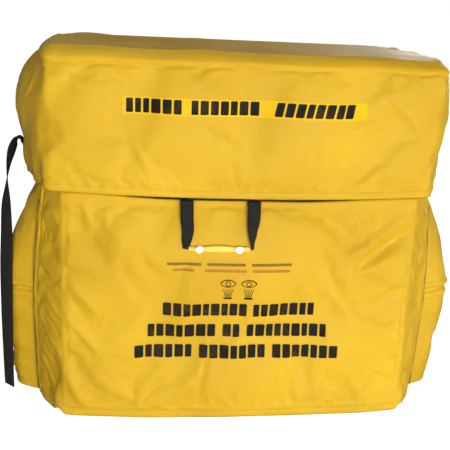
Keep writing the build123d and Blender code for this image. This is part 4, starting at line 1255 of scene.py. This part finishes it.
@dataclass
class PullHandle:
    """The pull handle: two twisted webbing legs and a pinched vinyl grip with two snaps."""

    leg_width: float = 20 * MM
    thickness: float = 1.7 * MM
    low: Vector = field(default_factory=lambda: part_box("handle_webbing")[0])
    high: Vector = field(default_factory=lambda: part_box("handle_webbing")[1])
    grip: tuple[Vector, Vector] = field(default_factory=lambda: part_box("handle_grip"))
    snaps: tuple[Vector, Vector] = field(default_factory=lambda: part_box("grip_snaps"))

    def leg(self, name: str, side: int) -> bpy.types.Object:
        """One leg, from under the hood down to the grip."""
        outer = self.low.x if side < 0 else self.high.x
        top_x = outer - side * self.leg_width / 2
        foot_x = top_x + side * 1.5 * MM
        top_y, foot_y = self.high.y - 2 * MM, (self.grip[0].y + self.grip[1].y) / 2
        bottom, top = (self.grip[0].z + self.grip[1].z) / 2 - 2 * MM, self.high.z + 3.0 * MM
        drop = top - bottom
        lean = side * (1 if side < 0 else 0.6)
        w = self.leg_width
        stations = [
            Station((top_x, top_y, top), 88, w),
            Station((top_x - 0.5 * MM * lean, top_y - 3 * MM, top - drop * 0.3), 84, w),
            Station((top_x - 2.0 * MM * lean, top_y - 6 * MM, top - drop * 0.55), 74 - 20 * lean, w * 0.9),
            Station((foot_x - 2.0 * MM * lean, foot_y + 1 * MM, top - drop * 0.8), 66 - 34 * lean, w * 0.75),
            Station((foot_x - side * 1 * MM, foot_y, bottom + 1 * MM), 60 - 40 * lean, w * 0.45),
        ]
        piece = strap_piece(name, stations, self.thickness, 1)
        dress(piece, Finish.STRAP)
        return piece

    def grip_piece(self) -> bpy.types.Object:
        """The vinyl sleeve, pinched under each snap and swollen between them."""
        low, high = self.grip
        middle_y, middle_z = (low.y + high.y) / 2, (low.z + high.z) / 2
        snap_x = [self.snaps[0].x + 5 * MM, self.snaps[1].x - 5 * MM]
        columns, ring = 90, 20
        x = np.linspace(low.x - 4 * MM, high.x + 4 * MM, columns)
        pinch = sum(np.exp(-(((x - s) / (7 * MM)) ** 2)) for s in snap_x)
        swell = np.exp(-(((x - (snap_x[0] + snap_x[1]) / 2) / (16 * MM)) ** 2))
        ends = smooth_step(x, low.x - 4 * MM, low.x + 3 * MM)
        ends = ends * smooth_step(x, high.x + 4 * MM, high.x - 3 * MM)
        tall = (4.4 * MM - 1.3 * MM * pinch + 1.2 * MM * swell) * (0.72 + 0.28 * ends)
        deep = (3.9 * MM - 1.9 * MM * pinch) * (0.72 + 0.28 * ends)
        sag = -1.2 * MM * np.sin(np.linspace(0, math.pi, columns)) + 1.6 * MM * swell
        turn = np.linspace(0, math.tau, ring, endpoint=False)
        wobble = 1 + 0.05 * np.sin(3 * turn[None] + x[:, None] * 190)
        cy = np.sign(np.cos(turn)) * np.abs(np.cos(turn)) ** 0.8
        cz = np.sign(np.sin(turn)) * np.abs(np.sin(turn)) ** 0.8
        vertices = np.stack([
            np.repeat(x[:, None], ring, 1),
            middle_y + deep[:, None] * cy[None] * wobble,
            middle_z + sag[:, None] + tall[:, None] * cz[None] * wobble,
        ], 2)
        vertices = vertices.reshape(-1, 3)
        faces = [
            (i * ring + j, i * ring + (j + 1) % ring, (i + 1) * ring + (j + 1) % ring, (i + 1) * ring + j)
            for i in range(columns - 1) for j in range(ring)
        ]
        faces += [tuple(range(ring)), tuple((columns - 1) * ring + j for j in reversed(range(ring)))]
        mesh = mesh_from("handle_sleeve", vertices, faces)
        map_from_front(mesh)
        piece = new_piece("handle_sleeve", mesh)
        dress(piece, Finish.GRIP)
        return piece

    def tabs(self) -> bpy.types.Object:
        """The folded webbing tabs that hold both legs to the door."""
        low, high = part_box("handle_anchors")
        made = bmesh.new()
        for middle in (low.x + self.leg_width / 2, high.x - self.leg_width / 2):
            size = Vector((self.leg_width, high.y - low.y, high.z - low.z - 1.5 * MM))
            centre = Vector((middle, (low.y + high.y) / 2, (low.z + high.z) / 2))
            placed = Matrix.Translation(centre) @ Matrix.Diagonal((*size, 1))
            bmesh.ops.create_cube(made, size=1, matrix=placed)
        bmesh.ops.bevel(made, geom=made.edges[:], offset=1.6 * MM, segments=3, affect="EDGES", profile=0.5)
        mesh = bpy.data.meshes.new("handle_tabs")
        made.to_mesh(mesh)
        made.free()
        map_from_front(mesh, 1.0)
        piece = new_piece("handle_tabs", mesh)
        dress(piece, Finish.STRAP)
        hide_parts("handle_anchors")
        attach(piece, "door")
        return piece

    def build(self) -> list[bpy.types.Object]:
        """Makes the handle's pieces."""
        self.tabs()
        legs = [self.leg("handle_leg_left", -1), self.leg("handle_leg_right", 1)]
        sleeve = self.grip_piece()
        for leg in legs:
            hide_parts("handle_webbing")
        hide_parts("handle_grip")
        for piece in (*legs, sleeve):
            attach(piece, "handle")
        return [*legs, sleeve]


# === prints =====================================================================================
@dataclass
class Print:
    """A flat print laid onto a sheet's front from shapes drawn in x and z.

    Attributes:
        name: The piece's name.
        finish: Its ink.
        base: The piece that it is printed on.
        body: The body that it moves with.
        lift: How far it stands off the cloth.
        step: The largest gap between its points.
        film: How thick it is.
    """

    name: str
    finish: Finish
    base: bpy.types.Object
    body: str
    lift: float = 0.25 * MM
    step: float = 3 * MM
    film: float = 0.2 * MM
    outlines: list[list[tuple[float, float]]] = field(default_factory=list)

    def bar(self, x0: float, x1: float, z0: float, z1: float, soft: float = 0.35, slant: float = 0.0) -> None:
        """Adds a bar with rounded ends."""
        radius = min(x1 - x0, z1 - z0) / 2 * soft
        points = []
        for cx, cz, start in ((x1 - radius, z1 - radius, 0), (x0 + radius, z1 - radius, 90),
                              (x0 + radius, z0 + radius, 180), (x1 - radius, z0 + radius, 270)):
            for turn in np.radians(np.linspace(start, start + 90, 5)):
                px, pz = cx + radius * math.cos(turn), cz + radius * math.sin(turn)
                points.append((px + slant * (pz - z0), pz))
        self.outlines.append(points)

    def blocks(self, x0: float, x1: float, z: float, tall: float, seed: int, slant: float = 0.0) -> None:
        """Adds a row of plain blocks of uneven width, as greeked words are shown."""
        rng = np.random.default_rng(seed)
        count = max(1, round((x1 - x0) / (tall * 0.70)))
        widths = rng.uniform(0.62, 1.0, count)
        gap = tall * 0.15
        widths *= (x1 - x0 - gap * (count - 1)) / widths.sum()
        x = x0
        for width in widths:
            self.bar(x, x + width, z - tall / 2, z + tall / 2, 0.3, slant)
            x += width + gap

    def stroke(self, line: Sequence[tuple[float, float]], width: float) -> None:
        """Adds a stroke of even width along an open line."""
        pts = np.array(line)
        way = np.gradient(pts, axis=0)
        way /= np.linalg.norm(way, axis=1, keepdims=True)
        out = np.column_stack([-way[:, 1], way[:, 0]]) * width / 2
        for i in range(len(pts) - 1):
            self.outlines.append([tuple(p) for p in (pts[i] - out[i], pts[i + 1] - out[i + 1],
                                                     pts[i + 1] + out[i + 1], pts[i] + out[i])])

    def build(self) -> bpy.types.Object:
        """Cuts the shapes small enough to follow the cloth, and lays them on it."""
        flat = bmesh.new()
        for outline in self.outlines:
            flat.faces.new([flat.verts.new((x, 0, z)) for x, z in outline])
        xs, zs = [v.co.x for v in flat.verts], [v.co.z for v in flat.verts]
        for low, high, normal in ((min(xs), max(xs), (1, 0, 0)), (min(zs), max(zs), (0, 0, 1))):
            for at in np.arange(low + self.step, high, self.step):
                geometry = [*flat.verts, *flat.edges, *flat.faces]
                bmesh.ops.bisect_plane(flat, geom=geometry, plane_co=Vector(normal) * at, plane_no=normal)
        bmesh.ops.triangulate(flat, faces=flat.faces)
        tree = BVHTree.FromObject(self.base, bpy.context.evaluated_depsgraph_get())
        for vertex in flat.verts:
            hit, normal, _, _ = tree.ray_cast(Vector((vertex.co.x, -1, vertex.co.z)), Vector((0, 1, 0)))
            if hit is not None:
                vertex.co = hit + normal * self.lift
        bmesh.ops.recalc_face_normals(flat, faces=flat.faces)
        for face in flat.faces:
            if face.normal.y > 0:
                face.normal_flip()
        bmesh.ops.solidify(flat, geom=flat.faces, thickness=self.film)
        bmesh.ops.recalc_face_normals(flat, faces=flat.faces)
        mesh = bpy.data.meshes.new(self.name)
        flat.to_mesh(mesh)
        flat.free()
        map_from_front(mesh)
        mesh.polygons.foreach_set("use_smooth", [True] * len(mesh.polygons))
        mesh.set_sharp_from_angle(angle=math.radians(50))
        piece = new_piece(self.name, mesh)
        dress(piece, self.finish)
        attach(piece, self.body)
        return piece


@dataclass
class Prints:
    """Every print on the jacket: a label band, word bars that carry no lettering, and two eye signs."""

    hood: bpy.types.Object
    door: bpy.types.Object

    def label(self) -> None:
        """The brighter band on the hood, with bars in place of words."""
        band = Print("hood_label", Finish.LABEL, self.hood, "hood", 0.5 * MM, 4 * MM)
        band.bar(-0.181, 0.173, 0.4795, 0.5045, 0.1)
        band.build()
        words = Print("hood_label_blocks", Finish.INK, self.hood, "hood", 0.9 * MM, 4 * MM)
        spans = ((-0.176, -0.098, 0.0), (-0.084, 0.014, 0.0), (0.036, 0.152, 0.2))
        for seed, (x0, x1, slant) in enumerate(spans):
            words.blocks(x0, x1, 0.492, 20 * MM, 60 + seed, slant)
        words.build()

    def rows(self) -> None:
        """Three lines of large greeked words, and two rows of small ones above the eye signs."""
        lines = Print("door_word_blocks", Finish.INK, self.door, "door", 0.8 * MM, 3 * MM)
        for z, words in (
            (0.1810, ((-0.118, 0.012), (0.022, 0.119))),
            (0.1460, ((-0.141, -0.036), (-0.024, 0.002), (0.014, 0.140))),
            (0.1120, ((-0.161, -0.072), (-0.060, 0.044), (0.056, 0.160))),
        ):
            for x0, x1 in words:
                lines.blocks(x0, x1, z, 20.5 * MM, int(z * 1e4) + int(x1 * 1e3))
        lines.build()
        for name, finish, z, groups in (
            ("door_small_blocks_upper", Finish.FADED, 0.2555,
             ((-0.113, -0.062), (-0.052, 0.006), (0.016, 0.078))),
            ("door_small_blocks_lower", Finish.RUST, 0.2455,
             ((-0.104, -0.072), (-0.055, 0.008), (0.018, 0.076))),
        ):
            row = Print(name, finish, self.door, "door", 0.7 * MM, 3 * MM)
            for x0, x1 in groups:
                row.blocks(x0, x1, z, 4.4 * MM, int(z * 1e4) + int(x0 * 1e3) + 500)
            row.build()

    def eyes(self) -> None:
        """Two eyes over two fans of rinse water, a plain sign of the builder's own."""
        sign = Print("door_eye_signs", Finish.INK, self.door, "door", 0.7 * MM, 3 * MM)
        for centre in (-0.019, 0.013):
            turn = np.linspace(0.15, math.pi - 0.15, 13)
            lid = [(centre + 0.012 * math.cos(a), 0.2235 + 0.0075 * math.sin(a)) for a in turn]
            under = [(centre + 0.012 * math.cos(a), 0.2262 - 0.0062 * math.sin(a)) for a in turn]
            iris = [(centre + 0.0036 * math.cos(a), 0.2247 + 0.0036 * math.sin(a))
                    for a in np.linspace(0, math.tau, 17)]
            sign.stroke(lid, 0.0016)
            sign.stroke(under, 0.0011)
            sign.stroke(iris, 0.0012)
            for i in range(5):
                spread = (i - 2) / 2
                sign.stroke([(centre + spread * 0.0035, 0.2035), (centre + spread * 0.0075, 0.2165)], 0.0009)
            sign.bar(centre - 0.0065, centre + 0.0065, 0.1995, 0.2025, 0.4)
        sign.build()

    def build(self) -> None:
        """Makes every print."""
        self.label()
        self.rows()
        self.eyes()


# === stitching ==================================================================================
@dataclass
class Stitching:
    """Rows of thread, laid along lines on the cloth by Geometry Nodes."""

    pitch: float = 5.0 * MM
    length: float = 3.4 * MM
    gauge: float = 0.9 * MM

    def tree(self) -> bpy.types.NodeTree:
        """The node tree that turns a line into a row of stitches."""
        made = bpy.data.node_groups.get("stitch_row")
        if made:
            return made
        made = bpy.data.node_groups.new("stitch_row", "GeometryNodeTree")
        face = made.interface
        face.new_socket("Line", in_out="INPUT", socket_type="NodeSocketGeometry")
        for name in ("Pitch", "Length", "Gauge"):
            face.new_socket(name, in_out="INPUT", socket_type="NodeSocketFloat")
        face.new_socket("Stitches", in_out="OUTPUT", socket_type="NodeSocketGeometry")
        add = made.nodes.new
        come, go = add("NodeGroupInput"), add("NodeGroupOutput")
        curve, resample = add("GeometryNodeMeshToCurve"), add("GeometryNodeResampleCurve")
        resample.mode = "LENGTH"
        bead, scale = add("GeometryNodeMeshIcoSphere"), add("GeometryNodeTransform")
        bead.inputs["Radius"].default_value = 0.5
        bead.inputs["Subdivisions"].default_value = 2
        size = add("ShaderNodeCombineXYZ")
        tangent, align = add("GeometryNodeInputTangent"), add("FunctionNodeAlignRotationToVector")
        align.axis = "X"
        place, real = add("GeometryNodeInstanceOnPoints"), add("GeometryNodeRealizeInstances")
        paint = add("GeometryNodeSetMaterial")
        paint.inputs["Material"].default_value = Finish.THREAD.material()
        join = made.links.new
        join(come.outputs["Line"], curve.inputs["Mesh"])
        join(curve.outputs["Curve"], resample.inputs["Curve"])
        join(come.outputs["Pitch"], resample.inputs["Length"])
        join(come.outputs["Length"], size.inputs["X"])
        join(come.outputs["Gauge"], size.inputs["Y"])
        join(come.outputs["Gauge"], size.inputs["Z"])
        join(bead.outputs["Mesh"], scale.inputs["Geometry"])
        join(size.outputs[0], scale.inputs["Scale"])
        join(resample.outputs["Curve"], place.inputs["Points"])
        join(scale.outputs["Geometry"], place.inputs["Instance"])
        join(tangent.outputs[0], align.inputs["Vector"])
        join(align.outputs[0], place.inputs["Rotation"])
        join(place.outputs[0], real.inputs[0])
        join(real.outputs[0], paint.inputs["Geometry"])
        join(paint.outputs[0], go.inputs[0])
        return made

    def sew(self, name: str, lines: Sequence[Points], body: str) -> bpy.types.Object:
        """Sews several lines as one piece.

        Args:
            name: The piece's name.
            lines: Points along each line, already on the cloth.
            body: The body that the thread moves with.

        Returns:
            The piece.
        """
        mesh = bpy.data.meshes.new(name)
        vertices, edges = [], []
        for line in lines:
            start = len(vertices)
            vertices += [tuple(p) for p in line]
            edges += [(start + i, start + i + 1) for i in range(len(line) - 1)]
        mesh.from_pydata(vertices, edges, [])
        guide = new_piece(f"{name}_guide", mesh)
        modifier = guide.modifiers.new("stitches", "NODES")
        tree = self.tree()
        modifier.node_group = tree
        sizes = {"Pitch": self.pitch, "Length": self.length, "Gauge": self.gauge}
        for item in tree.interface.items_tree:
            if item.name in sizes and item.in_out == "INPUT":
                modifier[item.identifier] = sizes[item.name]
        evaluated = guide.evaluated_get(bpy.context.evaluated_depsgraph_get())
        thread = bpy.data.meshes.new_from_object(evaluated)
        bpy.data.objects.remove(guide)
        piece = new_piece(name, thread)
        dress(piece, Finish.THREAD)
        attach(piece, body)
        return piece


def on_cloth(piece: bpy.types.Object, starts: Points, way: tuple[float, float, float]) -> Points:
    """Drops points onto a piece along a direction.

    Args:
        piece: The cloth.
        starts: Points in front of it.
        way: The direction to drop them in.

    Returns:
        The points that met the cloth.
    """
    tree = BVHTree.FromObject(piece, bpy.context.evaluated_depsgraph_get())
    out = []
    for start in starts:
        hit = tree.ray_cast(Vector(start), Vector(way))[0]
        if hit is not None:
            out.append(hit)
    return np.array(out)


@dataclass
class Seams:
    """The stitch rows on every panel, and the dark tape at each band's rear edge, which is partly binding and
    partly painted shadow of the gap between band and side panel.
    """

    hood: bpy.types.Object
    door: bpy.types.Object
    lower: list[bpy.types.Object]
    thread: Stitching = field(default_factory=Stitching)

    def hood_rows(self) -> None:
        """A row above the hood's hem, all round."""
        low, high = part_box("hood_cover")
        hood = HoodCover()
        xs = np.linspace(-0.280, 0.280, 120)
        z = low.z + hood.hem(xs, np.full(xs.shape, low.y)) + 11 * MM
        front = on_cloth(self.hood, points_at(xs, -1.0, z), (0, 1, 0))
        lines = [front]
        for side in (-1, 1):
            ys = np.linspace(low.y + 35 * MM, high.y - 40 * MM, 70)
            z = low.z + hood.hem(np.full(ys.shape, high.x), ys) + 11 * MM
            starts = points_at(side, ys, z)
            lines.append(on_cloth(self.hood, starts, (-side, 0, 0)))
        xs = np.linspace(-0.295, 0.295, 110)
        starts = points_at(xs, 1.0, low.z + 18 * MM)
        lines.append(on_cloth(self.hood, starts, (0, -1, 0)))
        self.thread.sew("hood_hem_stitches", lines, "hood")

    def door_rows(self) -> None:
        """A row along the rear edge of each band, and one above the lower hem."""
        low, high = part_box("front_flap")
        lines = []
        for side in (-1, 1):
            zs = np.linspace(low.z + 6 * MM, high.z - 4 * MM, 110)
            starts = points_at(side, high.y - 9 * MM, zs)
            lines.append(on_cloth(self.door, starts, (-side, 0, 0)))
        cover = DoorCover()
        xs = np.linspace(-0.262, 0.262, 130)
        z = low.z + 5 * MM + cover.hem(xs)
        lines.append(on_cloth(self.door, points_at(xs, -1.0, z), (0, 1, 0)))
        self.thread.sew("door_stitches", lines, "door")

    def lower_rows(self) -> None:
        """A row beside each back seam, along the foot, and beside each belly fold."""
        right, back, left = self.lower
        jacket = LowerJacket()
        high = jacket.high
        for piece, side, name in ((left, -1, "left"), (right, 1, "right")):
            zs = np.linspace(0.02, 0.345, 90)
            starts = points_at(side, high.y - 36 * MM, zs)
            ys = np.linspace(jacket.low.y + 14 * MM, high.y - 36 * MM, 80)
            foot = points_at(side, ys, 13 * MM)
            under = points_at(side, ys, jacket.belly - 11 * MM)
            way = (-side, 0, 0)
            lines = [on_cloth(piece, s, way) for s in (starts, foot, under)]
            self.thread.sew(f"side_stitches_{name}", lines, "housing")
        xs = np.linspace(-0.335, 0.335, 120)
        foot = points_at(xs, 1.0, 13 * MM)
        self.thread.sew("back_stitches", [on_cloth(back, foot, (0, -1, 0))], "housing")

    def painted_shade_binding(self) -> None:
        """The dark tape rolled over the rear edge of each side band: partly binding, partly painted shadow of
        the gap between band and side panel.
        """
        low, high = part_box("front_flap")
        for side, name in ((-1, "left"), (1, "right")):
            zs = np.linspace(low.z + 0.5 * MM, high.z + 1 * MM, 60)
            starts = points_at(side, high.y - 1.2 * MM, zs)
            line = on_cloth(self.door, starts, (-side, 0, 0))
            line[:, 0] += side * 0.6 * MM
            line[:, 1] = high.y + 0.4 * MM
            stations = [Station(tuple(p), 90, 6 * MM) for p in line[::4]]
            piece = strap_piece(f"band_shade_binding_{name}", stations, 3.6 * MM, 1, 3)
            # Its dark colour is partly painted shadow of the gap between band and side panel.
            dress(piece, Finish.SHADE_BINDING)
            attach(piece, "door")

    def build(self) -> None:
        """Sews every seam."""
        self.hood_rows()
        self.door_rows()
        self.lower_rows()
        self.painted_shade_binding()


# === rigid pieces ===============================================================================
@dataclass(frozen=True)
class Hardware:
    """The finish of every rigid piece that keeps its own shape."""

    finishes: tuple[tuple[Finish, tuple[str, ...]], ...] = (
        (Finish.HOUSING, ("housing_shell", "base_pan", "cartridge_deck", "cover_rails", "pivot_block_left",
                          "pivot_block_right")),
        (Finish.TRAY, ("door_tray",)),
        (Finish.COVER, ("cartridge_cover",)),
        (Finish.BASIN, ("wash_basin",)),
        (Finish.BOTTLE, ("cartridge_left", "cartridge_right")),
        (Finish.BLUE, ("vent_cap_left", "vent_cap_right", "spout_left", "spout_right", "drain_cap")),
        (Finish.PIPE, ("nozzle_manifold", "pipe_saddles", "drain_spigot")),
        (Finish.NOZZLE, ("nozzle_left", "nozzle_right")),
        (Finish.CAP, ("nozzle_cap_left", "nozzle_cap_right")),
        (Finish.STEEL, ("deck_screws", "nozzle_screen_left", "nozzle_screen_right", "cap_pins", "hose_clamps",
                        "strike_plates")),
        (Finish.NICKEL, ("grip_snaps", "wall_inserts", "back_grommets")),
        (Finish.RUBBER, ("feet",)),
        (Finish.HOSE, ("feed_hose_left", "feed_hose_right")),
        (Finish.WHITE, ("alarm_box",)),
        (Finish.RED, ("alarm_button",)),
        (Finish.BLACK, ("magnet_catches", "alarm_sounder")),
        (Finish.FOAM, ("hood_pad",)),
        (Finish.LOOP, ("strap_patch_left", "strap_patch_right")),
    )

    def build(self) -> None:
        """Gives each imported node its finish."""
        for finish, nodes in self.finishes:
            for node in nodes:
                dress(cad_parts[node], finish)


# === studio =====================================================================================
@dataclass
class Studio:
    """A pale floor, soft lights and the camera."""

    eye: tuple[float, float, float] = (-0.147, -1.206, 0.655)
    yaw: float = 0.116
    pitch: float = 0.317
    roll: float = 0.050
    lens: float = 57.8

    def camera(self) -> None:
        """Places the camera in front of the station, a little to the left and above."""
        data = bpy.data.cameras.new("camera")
        data.lens, data.sensor_width = self.lens, 36.0
        camera = bpy.data.objects.new("camera", data)
        ahead = Vector((math.sin(self.yaw) * math.cos(self.pitch), math.cos(self.yaw) * math.cos(self.pitch),
                        -math.sin(self.pitch)))
        right = Vector((math.cos(self.yaw), -math.sin(self.yaw), 0))
        up = right.cross(ahead)
        c, s = math.cos(self.roll), math.sin(self.roll)
        axis_x, axis_y = c * right + s * up, c * up - s * right
        turn = Matrix((axis_x, axis_y, -ahead)).transposed()
        camera.matrix_world = Matrix.Translation(self.eye) @ turn.to_4x4()
        bpy.context.scene.collection.objects.link(camera)
        bpy.context.scene.camera = camera

    def lamp(self, name: str, place: tuple[float, float, float], aim: tuple[float, float, float], size: float,
             power: float, color: tuple[float, float, float] = (1, 1, 1)) -> None:
        """Adds a square soft light that faces a point."""
        data = bpy.data.lights.new(name, "AREA")
        data.size, data.energy, data.color = size, power, color
        lamp = bpy.data.objects.new(name, data)
        lamp.location = place
        lamp.rotation_euler = (Vector(aim) - Vector(place)).to_track_quat("-Z", "Y").to_euler()
        bpy.context.scene.collection.objects.link(lamp)

    def floor(self) -> None:
        """Lays a pale floor that runs far behind the station."""
        mesh = bpy.data.meshes.new("floor")
        size = 40.0
        corners = [(-size, -size, 0), (size, -size, 0), (size, size, 0), (-size, size, 0)]
        mesh.from_pydata(corners, [], [(0, 1, 2, 3)])
        floor = new_piece("floor", mesh)
        ink = NodeInk("pale_floor")
        tone = ink.ramp(ink.noise(1.5, 2), (0.30, 0.30, 0.30), (0.32, 0.32, 0.32))
        mesh.materials.append(ink.finish(Base_Color=tone, Roughness=0.8, Specular_IOR_Level=0.1,
                                         Emission_Color=(1, 1, 1, 1), Emission_Strength=1.0))
        floor.visible_diffuse = floor.visible_glossy = False

    def build(self) -> None:
        """Makes the studio."""
        scene = bpy.context.scene
        scene.view_settings.view_transform = "Standard"
        world = bpy.data.worlds.new("studio")
        world.use_nodes = True
        tree = world.node_tree
        background = tree.nodes["Background"]
        background.inputs["Color"].default_value = (0.95, 0.97, 1.0, 1)
        background.inputs["Strength"].default_value = 0.16
        sweep = tree.nodes.new("ShaderNodeBackground")
        sweep.inputs["Color"].default_value = (1, 1, 1, 1)
        seen, mix = tree.nodes.new("ShaderNodeLightPath"), tree.nodes.new("ShaderNodeMixShader")
        tree.links.new(seen.outputs["Is Camera Ray"], mix.inputs["Fac"])
        tree.links.new(background.outputs[0], mix.inputs[1])
        tree.links.new(sweep.outputs[0], mix.inputs[2])
        tree.links.new(mix.outputs[0], tree.nodes["World Output"].inputs["Surface"])
        scene.world = world
        self.floor()
        self.camera()
        self.lamp("key", (0.25, -2.0, 0.12), (0.0, -0.1, 0.15), 1.0, 47, (1.0, 1.0, 0.985))
        self.lamp("fill", (-1.5, -2.1, 0.35), (-0.1, -0.1, 0.1), 0.9, 10, (1.0, 0.99, 0.97))
        self.lamp("side", (2.1, -1.0, 0.35), (0.3, 0, 0.2), 0.9, 15)
        self.lamp("top", (-0.2, 0.5, 2.4), (0, 0, 0.5), 1.5, 9)
        self.lamp("back", (1.7, 2.3, 1.25), (0.1, 0, 0.5), 1.4, 27)


def main() -> None:
    """Builds the scene in order and reports each sub-assembly."""
    logging.basicConfig(level=logging.INFO, format="%(name)s: %(message)s")
    Studio().build()
    log.info("studio ready")
    hood = HoodCover().build()
    log.info("hood: %d faces", len(hood.data.polygons))
    door = DoorCover().build()
    log.info("door cover: %d faces", len(door.data.polygons))
    lower = LowerJacket().build()
    log.info("lower jacket: %d panels", len(lower))
    straps = SideStraps(lower[0]).build()
    log.info("side straps: %d", len(straps))
    handle = PullHandle().build()
    log.info("pull handle: %d pieces", len(handle))
    Prints(hood, door).build()
    Seams(hood, door, lower).build()
    Hardware().build()
    log.info("prints, seams and hardware done")


if __name__ == "__main__":
    main()
